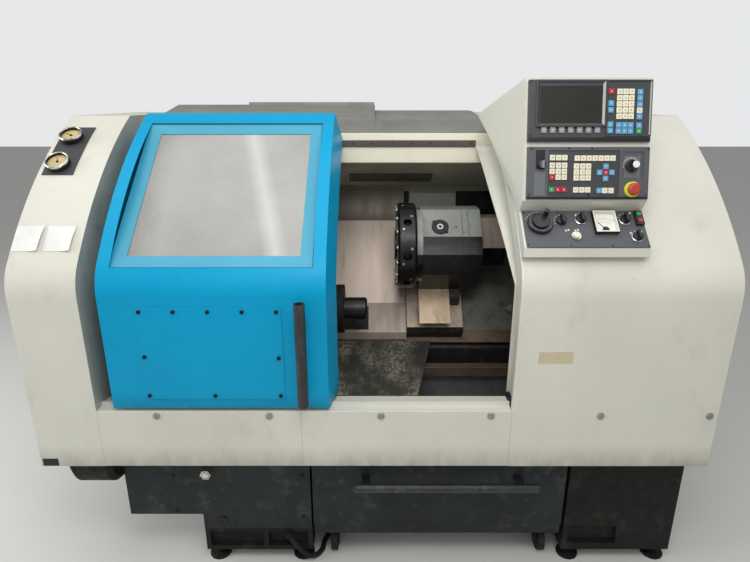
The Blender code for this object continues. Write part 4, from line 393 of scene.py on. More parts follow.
def polycarbonate():
    """Clear sheet hazed by years of coolant and chips: a pale grey veil with a fine fog of scratches, darker towards
    its left edge, with a painted reflection leaning across it.
    """
    material = bpy.data.materials.new("hazed_polycarbonate")
    material.use_nodes = True
    tree = material.node_tree
    shader = tree.nodes["Principled BSDF"]
    shader.inputs["Transmission Weight"].default_value = 0.22
    shader.inputs["IOR"].default_value = 1.58
    spot = add(tree, "ShaderNodeTexCoord").outputs["Object"]

    def ramp(value, **limits):
        inputs = {"Value": value, **{key.replace("_", " "): limit for key, limit in limits.items()}}
        return add(tree, "ShaderNodeMapRange", inputs).outputs["Result"]

    def tint(factor, first, code):
        return add(tree, "ShaderNodeMix", {0: factor, 6: first, 7: colour(code)}, data_type="RGBA").outputs[2]

    def work_out(operation, *values):
        return add(tree, "ShaderNodeMath", dict(enumerate(values)), operation=operation).outputs[0]

    cloud = add(tree, "ShaderNodeTexNoise", {"Vector": spot, "Scale": CLOUD_SCALE, "Detail": 5}).outputs["Fac"]
    fog = add(tree, "ShaderNodeTexNoise", {"Vector": spot, "Scale": FOG_SCALE, "Detail": 3}).outputs["Fac"]
    pale = tint(ramp(cloud, From_Min=0.35, From_Max=0.68), colour("B5B3AD"), "9C9A94")
    place = add(tree, "ShaderNodeSeparateXYZ", {"Vector": spot}).outputs
    edge = ramp(place["X"], From_Min=PANE_DARK_X[0], From_Max=PANE_DARK_X[1], To_Max=0.85)
    pale = tint(work_out("MULTIPLY", edge, cloud), pale, "5E5552")
    # Painted reflection: a pale streak that leans across the pane.
    slide = work_out("MULTIPLY_ADD", place["Z"], REFLECTION_LEAN, place["X"])
    away = work_out("ABSOLUTE", work_out("SUBTRACT", slide, REFLECTION_PLACE))
    pale = tint(ramp(away, From_Min=REFLECTION_HALF_WIDTH, From_Max=0.0, To_Max=0.6), pale, "E4E3DF")
    veil = tint(ramp(fog, From_Min=0.45, From_Max=0.75, To_Max=0.5), pale, "C9C8C3")
    tree.links.new(veil, shader.inputs["Base Color"])
    tree.links.new(ramp(cloud, To_Min=0.3, To_Max=0.6), shader.inputs["Roughness"])
    grain = add(tree, "ShaderNodeBump", {"Height": fog, "Distance": 0.05 * MM, "Strength": 0.4}).outputs["Normal"]
    tree.links.new(grain, shader.inputs["Normal"])
    M["polycarbonate"] = material


materials()
polycarbonate()


# Modelling steps
EDGE = 0.6 * MM
SURROUND_FLOOR = 0.4 * MM
WELD = 0.02 * MM
SMOOTH = 40
COPY_SMOOTH = 35


def only(piece):
    """Select one piece alone."""
    bpy.ops.object.select_all(action="DESELECT")
    piece.select_set(True)
    bpy.context.view_layer.objects.active = piece


def pick(piece, wanted):
    """Open a piece for editing with the faces selected that a test holds for."""
    only(piece)
    bpy.ops.object.mode_set(mode="EDIT")
    bpy.ops.mesh.select_mode(type="FACE")
    bpy.ops.mesh.select_all(action="DESELECT")
    bpy.ops.object.mode_set(mode="OBJECT")
    for face in piece.data.polygons:
        face.select = wanted(face)
    bpy.ops.object.mode_set(mode="EDIT")


def settle(piece, name, finish_name, body, smooth=SMOOTH):
    """Name a finished piece, put its place into its mesh, and let it ride on its body."""
    if bpy.context.mode != "OBJECT":
        bpy.ops.object.mode_set(mode="OBJECT")
    only(piece)
    bpy.ops.object.transform_apply(location=True, rotation=True, scale=True)
    piece.name = piece.data.name = name
    if finish_name:
        piece.data.materials.clear()
        piece.data.materials.append(M[finish_name])
    bpy.ops.object.shade_smooth_by_angle(angle=math.radians(smooth))
    normals = piece.modifiers.new("normals", "WEIGHTED_NORMAL")
    normals.keep_sharp = True
    bpy.ops.object.modifier_apply(modifier="normals")
    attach(piece, body)
    return piece


def blank(spans):
    """A rough block between spans along X, up and out of a face."""
    bpy.ops.mesh.primitive_cube_add(size=1)
    piece = bpy.context.object
    piece.scale = [b - a for a, b in spans]
    piece.location = [(a + b) / 2 for a, b in spans]
    bpy.ops.object.transform_apply(location=True, rotation=True, scale=True)
    return piece


def slab(name, finish_name, body, x, u, out, at=Matrix(), edge=EDGE, segments=2):
    """A plate between spans along X, up and out of a face, with its edges rounded."""
    piece = blank((x, u, out))
    bpy.ops.object.mode_set(mode="EDIT")
    bpy.ops.mesh.select_all(action="SELECT")
    bpy.ops.mesh.bevel(offset=edge, segments=segments, affect="EDGES")
    bpy.ops.object.mode_set(mode="OBJECT")
    piece.data.transform(at)
    return settle(piece, name, finish_name, body)


def surround(name, finish_name, body, x, u, out, at, rim, slope):
    """A shallow moulded frame with a flat rim, sloping inner walls and a floor."""
    piece = blank((x, u, out))
    pick(piece, lambda face: face.normal.z > 0.9)
    bpy.ops.mesh.inset(thickness=rim)
    bpy.ops.mesh.inset(thickness=slope, depth=SURROUND_FLOOR - (out[1] - out[0]))
    bpy.ops.object.mode_set(mode="OBJECT")
    edge = piece.modifiers.new("edge", "BEVEL")
    edge.width = EDGE
    edge.segments = 2
    bpy.ops.object.modifier_apply(modifier="edge")
    piece.data.transform(at)
    return settle(piece, name, finish_name, body)


def disc(name, finish_name, body, spot, radius, out, at=Matrix(), edge=EDGE, sides=48, segments=2):
    """A round plate or pin that stands on a spot of a face, with its rims rounded."""
    bpy.ops.mesh.primitive_cylinder_add(vertices=sides, radius=radius, depth=out[1] - out[0])
    piece = bpy.context.object
    pick(piece, lambda face: abs(face.normal.z) > 0.9)
    bpy.ops.mesh.bevel(offset=edge, segments=segments, affect="EDGES")
    bpy.ops.object.mode_set(mode="OBJECT")
    piece.data.transform(on(at, *spot, (out[0] + out[1]) / 2))
    return settle(piece, name, finish_name, body)


def lathe(name, finish_name, body, profile, place, steps=48):
    """A closed section of (radius, height) points spun about the place's Z axis."""
    mesh = bpy.data.meshes.new(name)
    points = [(r, 0, h) for r, h in profile]
    edges = [(i, (i + 1) % len(points)) for i in range(len(points))]
    if profile[0][0] == 0:
        edges.pop()
    mesh.from_pydata(points, edges, [])
    piece = bpy.data.objects.new(name, mesh)
    bpy.context.scene.collection.objects.link(piece)
    only(piece)
    bpy.ops.object.mode_set(mode="EDIT")
    bpy.ops.mesh.select_all(action="SELECT")
    bpy.ops.mesh.spin(steps=steps, angle=2 * math.pi, center=(0, 0, 0), axis=(0, 0, 1))
    bpy.ops.mesh.select_all(action="SELECT")
    bpy.ops.mesh.remove_doubles(threshold=WELD)
    bpy.ops.mesh.normals_make_consistent(inside=False)
    bpy.ops.object.mode_set(mode="OBJECT")
    piece.data.transform(place)
    return settle(piece, name, finish_name, body)


def copies(model, name, finish_name, body, places):
    """A small model at each place, joined as one piece; the model itself goes."""
    twins = []
    for place in places:
        twin = bpy.data.objects.new(name, model.data.copy())
        twin.data.transform(place)
        bpy.context.scene.collection.objects.link(twin)
        twins.append(twin)
    bpy.data.objects.remove(model, do_unlink=True)
    bpy.ops.object.select_all(action="DESELECT")
    for twin in twins:
        twin.select_set(True)
    bpy.context.view_layer.objects.active = twins[0]
    if len(twins) > 1:
        bpy.ops.object.join()
    return settle(bpy.context.view_layer.objects.active, name, finish_name, body)


def screw_model(radius, height, slot=0.0, socket=0.0):
    """A screw head on Z = 0 with a slot or a hexagon socket."""
    bpy.ops.mesh.primitive_cylinder_add(vertices=24, radius=radius, depth=height, location=(0, 0, height / 2))
    head = bpy.context.object
    bpy.ops.object.transform_apply(location=True, rotation=True, scale=True)
    pick(head, lambda face: face.normal.z > 0.9)
    bpy.ops.mesh.bevel(offset=height * 0.35, segments=3, affect="EDGES")
    bpy.ops.object.mode_set(mode="OBJECT")
    if slot:
        bpy.ops.mesh.primitive_cube_add(size=1)
        bpy.context.object.scale = (2.4 * radius, slot, height)
    else:
        bpy.ops.mesh.primitive_cylinder_add(vertices=6, radius=socket, depth=height)
    tool = bpy.context.object
    tool.location.z = height
    cut = head.modifiers.new("cut", "BOOLEAN")
    cut.operation = "DIFFERENCE"
    cut.object = tool
    only(head)
    bpy.ops.object.modifier_apply(modifier="cut")
    bpy.data.objects.remove(tool, do_unlink=True)
    return head


# Dressing the CAD solids: edge radius, its segments, and the narrowest face that takes it, in millimetres
ROUNDING_MM = {
    "left_end_cover": (3, 3, 20), "right_enclosure": (3, 3, 12), "front_apron_left": (2, 2, 5),
    "front_apron_right": (2, 2, 5), "door_jamb": (1, 2, 10), "headstock_guard": (1, 2, 10), "rear_cover": (2, 2, 20),
    "roof_plate_left": (1, 2, 10), "roof_plate_right": (1, 2, 10), "top_beam": (1.5, 2, 5), "inner_roof": (1.5, 2, 5),
    "base_casting": (3, 2, 8), "plinth_panel": (1, 2, 2), "tank_drawer": (1, 2, 2), "castor_wheel_left": (2, 2, 4),
    "castor_wheel_right": (2, 2, 4), "rear_wheelset": (2, 2, 4), "electrical_cabinet": (2, 2, 10),
    "cabinet_door": (2, 2, 4), "gauge_panel": (1, 2, 4), "door_shell": (4, 3, 20), "window_frame": (1, 2, 2),
    "door_access_panel": (0.8, 2, 2), "door_handle": (2, 2, 4), "turret_disc": (1.5, 2, 4), "spindle": (1, 2, 3),
    "headstock_casting": (3, 2, 10), "bed_casting": (2, 2, 8), "chip_tray": (0.8, 2, 2), "way_cover": (0.8, 2, 1.5),
    "saddle": (2, 2, 8), "cross_slide": (2, 2, 8), "turret_housing": (3, 3, 10), "tailstock": (3, 2, 10),
    "pendant_housing": (3, 3, 12), "display_unit": (0.9, 2, 3), "operator_panel": (0.9, 2, 3),
    "console_panel": (0.9, 2, 3), "estop_button": (2, 3, 3), "selector_1": (1.2, 2, 2.5), "selector_2": (1.2, 2, 2.5),
    "selector_3": (1.2, 2, 2.5), "selector_4": (1.2, 2, 2.5), "override_knob": (1.2, 2, 2.5), "handwheel": (2, 3, 4),
    "white_button": (1, 2, 3), "green_button": (1, 2, 3), "red_button": (1, 2, 3), "key_switch": (0.8, 2, 2),
}
SHARP = math.radians(25)
FLAT = math.radians(0.4)


def body_of(node):
    """The body that a solid rides on."""
    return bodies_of(frame["nodes"][node])[0]


def true_arc(piece, centre, first, last, steps, cuts, reach):
    """Turn the flat facets of an arc about a line along X into the round surface they stand for."""
    step = (last - first) / steps
    middle = Vector((0, *centre))

    def on_arc(face):
        off = face.center - middle
        angle = math.atan2(off.z, off.y)
        radius = math.hypot(off.y, off.z)
        turned = min(first, last) < angle < max(first, last)
        return abs(face.normal.x) < 0.5 and turned and reach[0] < radius < reach[1]

    for i in range(steps):
        for k in range(1, cuts + 1):
            angle = first + step * (i + k / (cuts + 1))
            pick(piece, on_arc)
            across = Vector((0, -math.sin(angle), math.cos(angle)))
            bpy.ops.mesh.bisect(plane_co=middle, plane_no=across)
            bpy.ops.object.mode_set(mode="OBJECT")
    for vertex in piece.data.vertices:
        off = vertex.co - middle
        angle = math.atan2(off.z, off.y)
        radius = math.hypot(off.y, off.z)
        share = (angle - first) / step
        if 0 < share < steps and reach[0] < radius < reach[1]:
            aside = (share - math.floor(share) - 0.5) * step
            grown = radius * math.cos(aside) / math.cos(step / 2)
            vertex.co.y = centre[0] + grown * math.cos(angle)
            vertex.co.z = centre[1] + grown * math.sin(angle)


def round_edges(piece, width, segments, narrow):
    """Round the outer edges between faces that are wide enough to take it."""
    mesh = bmesh.new()
    mesh.from_mesh(piece.data)
    weight = mesh.edges.layers.float.new("bevel_weight_edge")
    for edge in mesh.edges:
        if len(edge.link_faces) != 2 or not edge.is_convex:
            continue
        wide = all(2 * f.calc_area() / f.calc_perimeter() > narrow for f in edge.link_faces)
        if wide and edge.calc_face_angle(0) > SHARP:
            edge[weight] = 1
    mesh.to_mesh(piece.data)
    mesh.free()
    bevel = piece.modifiers.new("round_edges", "BEVEL")
    bevel.limit_method = "WEIGHT"
    bevel.width = width
    bevel.segments = segments
    only(piece)
    bpy.ops.object.modifier_apply(modifier="round_edges")


def dress(node, finish_name, arc_end=None, paint=None):
    """A copy of a CAD solid with merged faces, true arcs, rounded edges and its own finish."""
    edge, segments, narrow = ROUNDING_MM[node]
    piece = bpy.data.objects.new(node, frame["nodes"][node].data.copy())
    bpy.context.scene.collection.objects.link(piece)
    only(piece)
    bpy.ops.object.mode_set(mode="EDIT")
    bpy.ops.mesh.select_all(action="SELECT")
    bpy.ops.mesh.remove_doubles(threshold=WELD / 2)
    bpy.ops.mesh.dissolve_limited(angle_limit=FLAT)
    bpy.ops.object.mode_set(mode="OBJECT")
    if arc_end:
        true_arc(piece, (HOOD_Y, HOOD_Z), KNEE_ANGLE, arc_end, ARC_STEPS, 2, HOOD_REACH)
        true_arc(piece, (KNEE_Y, KNEE_Z), math.pi - 1e-6, KNEE_ANGLE, KNEE_STEPS, 1, KNEE_REACH)
    round_edges(piece, edge * MM, segments, narrow * MM)
    piece.data.materials.clear()
    piece.data.materials.append(M[finish_name])
    if paint:
        paint(piece)
    settle(piece, f"{node}_finish", None, body_of(node), COPY_SMOOTH)
    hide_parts(node)


def refinish(finish_name, *nodes):
    """A CAD solid whose shape is right keeps it and gets its real finish."""
    for node in nodes:
        solid = frame["nodes"][node]
        solid.data.materials.clear()
        solid.data.materials.append(M[finish_name])


def paint_faces(piece, finish_name, wanted):
    """Give another finish to the faces that a test holds for."""
    piece.data.materials.append(M[finish_name])
    number = len(piece.data.materials) - 1
    for face in piece.data.polygons:
        if wanted(face):
            face.material_index = number


# Hose from the foot of the base, over the floor, to the inner side of the same foot
HOSE_R = 0.010
HOSE_POINTS = 64
HOSE_ROUTE = (
    (-0.327, -0.597, 0.124), (-0.313, -0.599, 0.100), (-0.294, -0.600, 0.072), (-0.269, -0.600, 0.045),
    (-0.244, -0.592, 0.024), (-0.222, -0.567, 0.0135), (-0.209, -0.534, 0.0105), (-0.205, -0.498, 0.0105),
    (-0.183, -0.449, 0.0105), (-0.133, -0.428, 0.0105), (-0.088, -0.421, 0.0105), (-0.048, -0.397, 0.0105),
    (-0.020, -0.350, 0.0105), (-0.010, -0.285, 0.0105), (-0.004, -0.210, 0.0105), (0.0, -0.120, 0.0105),
    (0.0, -0.025, 0.0105), (-0.004, 0.070, 0.0105), (-0.008, 0.165, 0.0105), (-0.012, 0.245, 0.0105),
    (-0.034, 0.318, 0.0105), (-0.085, 0.356, 0.013), (-0.132, 0.370, 0.030), (-0.170, 0.374, 0.059),
    (-0.2242, 0.375, 0.083),
)


def spline_point(route, t):
    """Point on a smooth curve through the route, for t from 0 to 1."""
    scaled = t * (len(route) - 1)
    i = min(int(scaled), len(route) - 2)
    s = scaled - i
    p = [Vector(route[min(max(i + k, 0), len(route) - 1)]) for k in (-1, 0, 1, 2)]
    line = 2 * p[1] + (p[2] - p[0]) * s
    curve = (2 * p[0] - 5 * p[1] + 4 * p[2] - p[3]) * s ** 2 + (3 * p[1] - p[0] - 3 * p[2] + p[3]) * s ** 3
    return (line + curve) / 2


def hose():
    curve = bpy.data.curves.new("coolant_hose_finish", "CURVE")
    curve.dimensions = "3D"
    curve.bevel_depth = HOSE_R
    curve.bevel_resolution = 4
    curve.use_fill_caps = True
    spline = curve.splines.new("POLY")
    spline.points.add(HOSE_POINTS - 1)
    for i in range(HOSE_POINTS):
        spline.points[i].co = (*spline_point(HOSE_ROUTE, i / (HOSE_POINTS - 1)), 1)
    spline.use_smooth = True
    tube = bpy.data.objects.new("coolant_hose_finish", curve)
    curve.materials.append(M["rubber"])
    bpy.context.scene.collection.objects.link(tube)
    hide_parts("coolant_hose")
    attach(tube, body_of("coolant_hose"))


# Covers, apron and base
RAIL_Z = (1.543, 1.5695)
RAIL_FACE = -0.061
BEAM_FACE = -0.0553
HANDLE_FACE = -0.630
CABINET_EDGE = 0.02
CABINET_WALL = 0.006
REVEAL_LEFT = -1.0


def cabinet_finish(piece):
    """Grey switchgear on the back wall of the cabinet."""
    low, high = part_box("electrical_cabinet")

    def switchgear(face):
        across = low.x + CABINET_EDGE < face.center.x < high.x - CABINET_EDGE
        up = low.z + CABINET_EDGE < face.center.z < high.z - CABINET_EDGE
        return across and up and face.center.y > low.y + CABINET_WALL

    paint_faces(piece, "grey_powder_coat", switchgear)


def beam_finish(piece):
    """Greased steel rail on the face of the beam."""
    low, high = RAIL_Z[0] - 0.001, RAIL_Z[1] + 0.001
    paint_faces(piece, "greased_rail", lambda f: f.center.y < BEAM_FACE and low < f.center.z < high)


def reveal_painted_shade(piece):
    """Painted shade: greyed enamel on the right face of the left cover and on the set-back strip beside the door."""
    def reveal(face):
        away = math.hypot(face.center.y - HOOD_Y, face.center.z - HOOD_Z)
        strip = abs(face.normal.x) < 0.9 and face.center.x > REVEAL_LEFT and away < HOOD_R - 0.02
        return face.normal.x > 0.9 or strip

    paint_faces(piece, "shaded_enamel", reveal)


def covers():
    dress("left_end_cover", "cream_enamel", COVER_TOP_ANGLE, reveal_painted_shade)
    dress("right_enclosure", "cream_enamel", COVER_TOP_ANGLE)
    dress("front_apron_left", "cream_enamel")
    dress("front_apron_right", "cream_enamel")
    dress("door_jamb", "cream_enamel", COVER_TOP_ANGLE)
    # Painted shade: the guard beside the door takes the dark tray finish.
    dress("headstock_guard", "wet_and_shaded_sheet")
    dress("rear_cover", "rear_enamel")
    dress("roof_plate_left", "galvanised_sheet")
    dress("roof_plate_right", "galvanised_sheet")
    dress("top_beam", "lit_beam_enamel", paint=beam_finish)
    dress("inner_roof", "shaded_roof_enamel")
    dress("base_casting", "soot_and_shade_paint")
    dress("plinth_panel", "dark_paint", paint=lambda piece: paint_faces(
        piece, "chrome_plate", lambda f: f.center.y < PLINTH_FRONT - 0.0005))
    dress("tank_drawer", "dark_paint", paint=lambda piece: paint_faces(
        piece, "worn_grip", lambda f: f.center.y < HANDLE_FACE))
    dress("castor_wheel_left", "rubber")
    dress("castor_wheel_right", "rubber")
    dress("rear_wheelset", "rubber")
    dress("electrical_cabinet", "rear_enamel", paint=cabinet_finish)
    dress("cabinet_door", "rear_enamel")


COVER_SCREW_R = 0.0125
COVER_SCREW_X = (-0.731, -0.354, 0.020, 0.388)
ENCLOSURE_SCREW_X = (0.755, 1.12)
COVER_SCREW_DROP = 0.030
SCREW_TURN = 6.3
PANEL_SCREW_R = 0.0066
PANEL_SCREW_EDGE = 0.0145
PANEL_SCREW_Z = (0.934, 0.930)
PLINTH_SCREW_R = 0.007
PLINTH_SCREWS = ((-0.751, 0.395), (-0.271, 0.395), (-0.753, 0.236), (-0.273, 0.209))
PLINTH_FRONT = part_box("plinth_panel")[0].y + 0.028
SIGHT = (-0.622, 0.414)
SIGHT_CAP = 0.0278
SIGHT_RIM = ((0.0125, 0), (0.0145, 0), (0.0145, 0.0006), (0.0125, 0.0006))
SIGHT_EYE = ((0, 0), (0.009, 0), (0.009, 0.0006), (0.008, 0.001), (0, 0.001))
SLOT_X = (-0.5986, -0.5566)
SLOT_Z = (0.370, 0.517)
SLOT_R = 0.0208
BOLT_HOLE = (-0.581, 0.194)
BOLT_HOLE_R = 0.0218
BOLT_R = 0.013


def screws():
    """Fasteners on the covers, the door panel and the plinth."""
    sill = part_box("front_apron_left")[1].z - COVER_SCREW_DROP
    places = [on(FRONT, x, sill) @ Matrix.Rotation(SCREW_TURN * x, 4, "Z") for x in COVER_SCREW_X + ENCLOSURE_SCREW_X]
    copies(screw_model(COVER_SCREW_R, 0.0035, slot=0.0028), "cover_screws", "zinc_plate", "machine", places)
    low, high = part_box("door_access_panel")
    left, right = low.x + PANEL_SCREW_EDGE, high.x - PANEL_SCREW_EDGE
    spots = [(left + (right - left) * i / 4, high.z - PANEL_SCREW_EDGE) for i in range(5)]
    spots += zip((left, right), PANEL_SCREW_Z)
    spots += [(left + (right - left) * i / 2, low.z + PANEL_SCREW_EDGE) for i in range(3)]
    places = [on(FRONT, x, z, FRONT_Y - low.y) for x, z in spots]
    copies(screw_model(PANEL_SCREW_R, 0.0045, socket=0.0028), "panel_screws", "black_oxide", "door", places)
    at = upright(PLINTH_FRONT)
    places = [on(at, x, z) for x, z in PLINTH_SCREWS]
    copies(screw_model(PLINTH_SCREW_R, 0.004, socket=0.004), "plinth_screws", "black_oxide", "machine", places)
    slab("slot_shadow", "black_print_and_shade", "machine", SLOT_X, SLOT_Z, (-0.002, -0.0005), at, 0.0002)
    end = (sum(SLOT_X) / 2, SLOT_Z[0])
    # Painted shade: black discs in the round end of the slot and in the bolt hole.
    disc("slot_shadow_end", "black_print_and_shade", "machine", end, SLOT_R, (-0.0024, -0.0009), at, 0.0002, 32)
    disc("bolt_hole_shadow", "black_print_and_shade", "machine", BOLT_HOLE, BOLT_HOLE_R, (-0.002, -0.001), at, 0.0002, 32)
    bolt = on(at, *BOLT_HOLE, -0.001)
    copies(screw_model(BOLT_R, 0.007, socket=0.006), "foot_bolt", "oily_cast_iron", "machine", [bolt])
    cap = on(at, *SIGHT, SIGHT_CAP)
    lathe("sight_rings", "dark_moulding", "machine", SIGHT_RIM, cap)
    lathe("sight_eye", "white_key", "machine", SIGHT_EYE, cap)


# Left cover: gauges, notes and a small bare plate
GAUGE_X = -1.089
GAUGE_ANGLES = (math.radians(122.1), math.radians(127.15))
GAUGE_LIFT = 0.0023
GAUGE_R = 0.039
GAUGE_DIAL_R = 0.034
GAUGE_FLOOR = 0.012
GAUGE_FACE = GAUGE_FLOOR + 0.0002
GAUGE_BEZEL = (
    (0.0342, 0.0165), (0.0342, 0.0225), (0.0352, 0.0234), (0.0382, 0.0234), (0.0396, 0.0222), (0.0398, 0.0165))
GAUGE_TICKS = 28
LONG_TICK_EVERY = 7
TICK_PLACE_R = 0.0278
GAUGE_SWEEP = math.radians(270)
NOTE_STEPS = 12
NOTES = ((-1.148, -1.059), (-1.048, -0.957))
NOTE_LOW = 0.156
NOTE_HEIGHT = 0.091
NOTE_CURL = 0.009
NOTE_THICK = 0.0004
COVER_PLATE = ((-1.143, -1.090), (0.520, 0.548))
TAPE = ((0.528, 0.640), (0.909, 0.950))


def gauge_finish(piece):
    """Black cases on a dark plate."""
    centres = [hood_frame(angle, GAUGE_LIFT) for angle in GAUGE_ANGLES]

    def ring(face):
        for at in centres:
            spot = at.inverted() @ face.center
            radius = math.hypot(spot.x - GAUGE_X, spot.y)
            if radius < GAUGE_R + 0.001 and spot.z > GAUGE_FLOOR * 0.4:
                return True
        return False

    paint_faces(piece, "phenolic_black_and_shade", ring)


def gauges():
    dress("gauge_panel", "dark_moulding", paint=gauge_finish)
    ticks = []
    for i, angle in enumerate(GAUGE_ANGLES):
        at = hood_frame(angle, GAUGE_LIFT)
        disc(f"gauge_dial_{i + 1}", "dial_card", "machine", (GAUGE_X, 0), GAUGE_DIAL_R - 0.0008,
             (GAUGE_FLOOR, GAUGE_FACE), at, edge=0.00005, segments=1)
        lathe(f"gauge_bezel_{i + 1}", "chrome_plate", "machine", GAUGE_BEZEL, on(at, GAUGE_X, 0), 64)
        centre = on(at, GAUGE_X, 0, GAUGE_FACE)
        for k in range(GAUGE_TICKS + 1):
            turn = Matrix.Rotation(GAUGE_SWEEP * (0.5 - k / GAUGE_TICKS), 4, "Z")
            size = 1 if k % LONG_TICK_EVERY else 1.6
            ticks.append(on(centre @ turn, 0, TICK_PLACE_R, -0.00005) @ Matrix.Diagonal((size, size, 1, 1)))
    mark = slab("tick", "black_print_and_shade", "machine", (-0.0004, 0.0004), (-0.002, 0.002), (0, 0.0001), edge=0.00003,
                segments=1)
    copies(mark, "gauge_ticks", "black_print_and_shade", "machine", ticks)
    refinish("black_print_and_shade", "gauge_needle_1", "gauge_needle_2")


def hood_spot(run, lift):
    """Place on the cover's section at a distance up from where the front starts to bend."""
    bend = KNEE_R * (math.pi - KNEE_ANGLE)
    if run < 0:
        return FRONT_Y - lift, KNEE_Z + run
    if run < bend:
        angle = math.pi - run / KNEE_R
        return KNEE_Y + (KNEE_R + lift) * math.cos(angle), KNEE_Z + (KNEE_R + lift) * math.sin(angle)
    angle = KNEE_ANGLE - (run - bend) / HOOD_R
    return HOOD_Y + (HOOD_R + lift) * math.cos(angle), HOOD_Z + (HOOD_R + lift) * math.sin(angle)


def paper_note(name, left, right):
    """A sheet of paper taped by its top edge, with its right side lifting."""
    bpy.ops.mesh.primitive_grid_add(x_subdivisions=NOTE_STEPS, y_subdivisions=NOTE_STEPS, size=1)
    note = bpy.context.object
    for vertex in note.data.vertices:
        across = vertex.co.x + 0.5
        up = vertex.co.y + 0.5
        rise = NOTE_CURL * across ** 5 * (1 - 0.8 * up ** 2)
        y, z = hood_spot(NOTE_LOW + NOTE_HEIGHT * up, 0.0012 + rise)
        vertex.co = (left + (right - left) * across - rise * 0.35, y, z)
    thick = note.modifiers.new("thickness", "SOLIDIFY")
    thick.thickness = NOTE_THICK
    only(note)
    bpy.ops.object.modifier_apply(modifier="thickness")
    settle(note, name, "paper", "machine")


def left_cover_items():
    for i, (left, right) in enumerate(NOTES):
        paper_note(f"paper_note_{i + 1}", left, right)
    slab("cover_plate", "black_print_and_shade", "machine", *COVER_PLATE, (0, 0.0012), FRONT, 0.0003)
    slab("tape_patch", "masking_tape", "machine", *TAPE, (0, 0.0004), FRONT, 0.0001)


# Door
WINDOW_X = (-0.830, -0.193)
SHADOW_LINE_WIDE = 0.0035
SHADOW_LINE_GAP = 0.0003


def door():
    dress("door_shell", "blue_enamel", DOOR_TOP_ANGLE)
    dress("window_frame", "frame_enamel")
    refinish("polycarbonate", "window_pane")
    span = math.dist(WINDOW_LOW, WINDOW_HIGH)
    right = WINDOW_X[1]
    # Painted shadow: dark lines along the low, high and right edges of the frame.
    for name, x, u in (
        ("low", WINDOW_X, (SHADOW_LINE_GAP, SHADOW_LINE_WIDE)), ("high", WINDOW_X, (span - SHADOW_LINE_WIDE, span - SHADOW_LINE_GAP)),
        ("right", (right - 0.0033, right - SHADOW_LINE_GAP), (SHADOW_LINE_WIDE, span - SHADOW_LINE_WIDE)),
    ):
        slab(f"frame_gap_shadow_{name}", "gap_shadow_teal", "door", x, u, (-0.004, -0.0006), WINDOW, 0.0003)
    dress("door_access_panel", "blue_enamel")
    dress("door_handle", "worn_grip")


# Inside: spindle, guard, carriage, turret, tailstock
TURRET_CENTRE = SLANT @ Vector((0, 0.288, 0))
TURRET_R = 0.1775
TURRET_LEFT = 0.090
STATIONS = 8
FACE_BOLTS = 16
FACE_BOLT_PLACE_R = 0.158
RIM_SCREWS = ((0.17, 0.112), (-0.17, 0.144))
RIM_SCREW_SEAT = 0.0012
PLUG_SEAT = 0.030
PLUG_X = 0.1275


def turret_place(angle, radius, x):
    """Frame at a place round the turret, with Z pointing away from its middle."""
    at = Matrix.Translation(TURRET_CENTRE) @ Matrix.Rotation(angle, 4, "X")
    return on(at, x - TURRET_CENTRE.x, 0, radius)


def turret():
    dress("turret_disc", "black_oxide")
    left = Matrix.Rotation(math.radians(-90), 4, "Y")
    places = [turret_place(2 * math.pi * (i + 0.5) / FACE_BOLTS, FACE_BOLT_PLACE_R, TURRET_LEFT) @ left
              for i in range(FACE_BOLTS)]
    copies(screw_model(0.0085, 0.006, socket=0.0042), "turret_face_bolts", "zinc_plate", "turret", places)
    angles = [2 * math.pi * i / STATIONS for i in range(STATIONS)]
    places = [turret_place(angle + aside, TURRET_R - RIM_SCREW_SEAT, x) for angle in angles for aside, x in RIM_SCREWS]
    copies(screw_model(0.0052, 0.002, socket=0.0026), "turret_rim_screws", "zinc_plate", "turret", places)
    places = [turret_place(angle, TURRET_R - PLUG_SEAT, PLUG_X) for angle in angles]
    copies(screw_model(0.0125, 0.010, socket=0.006), "station_plugs", "black_oxide", "turret", places)


SHELF_LOW = 0.66
SHELF_RIGHT = 0.25
FLANGE_Z = (0.64, 0.695)
FLANGE_LEFT = 0.3
WAY_UPRIGHT_LOW = 1.181
WAY_FOOT_HIGH = 0.88
SHOULDER_Z = (0.735, 0.80)
SADDLE_TOP = -0.19
CROSS_TOP = -0.13
WIPER_X = (0.184, 0.314)
WIPER_ALONG = (-0.010, 0.149)
WIPER_TOP = CROSS_TOP + 0.003
WIPER_SCREWS = ((0.207, 0.118), (0.272, 0.118))
SADDLE_BACK = ((0.162, 0.3745), (1.19, 1.311))
SADDLE_BACK_FACE = 0.25
SHADE_WALLS = {"left": (0.120, 0.158), "right": (0.378, 0.60)}
SHADE_WALL_Z = (1.195, 1.318)
SHADE_WALL_FACE = 0.2675
SHADOW_PLATE_FOOT = ((-0.124, 0.782), (-0.052, 0.870))
SHADOW_PLATE_RIGHT = -0.028
SHADOW_PLATE_ALONG = (0.002, 0.108)
HOUSING_TOP = 0.10
HOUSING_END = 0.4335
LEVEL_PLACE = (0.263, 0.315)
LEVEL_SECTION = ((0, 0), (0.034, 0), (0.034, 0.004), (0.0325, 0.0055), (0.018, 0.0055), (0.016, 0.0035), (0, 0.0035))
LEVEL_RING = ((0.0065, 0.0035), (0.0135, 0.0035), (0.0125, 0.0056), (0.0075, 0.0056))
LEVEL_R = LEVEL_SECTION[1][0]
HOUSING_PLUG = (0.3275, 0.315)
SEAM_X = (0.352, 0.378)
SEAM_OUTLINE = ((0.20, 0.075), (0.27, HOUSING_TOP), (0.40, HOUSING_TOP))
ROOF_UNDER = ((0.27, 1.345), (-0.02, 1.482))
LAMP_X = (-0.113, 0.25)
LAMP_U = (0.074, 0.176)
LENS_EDGE = 0.009
ROOF_LIP = ((-0.1985, 0.50), (0.001, 0.014))
RAIL_PITCH = 0.0777
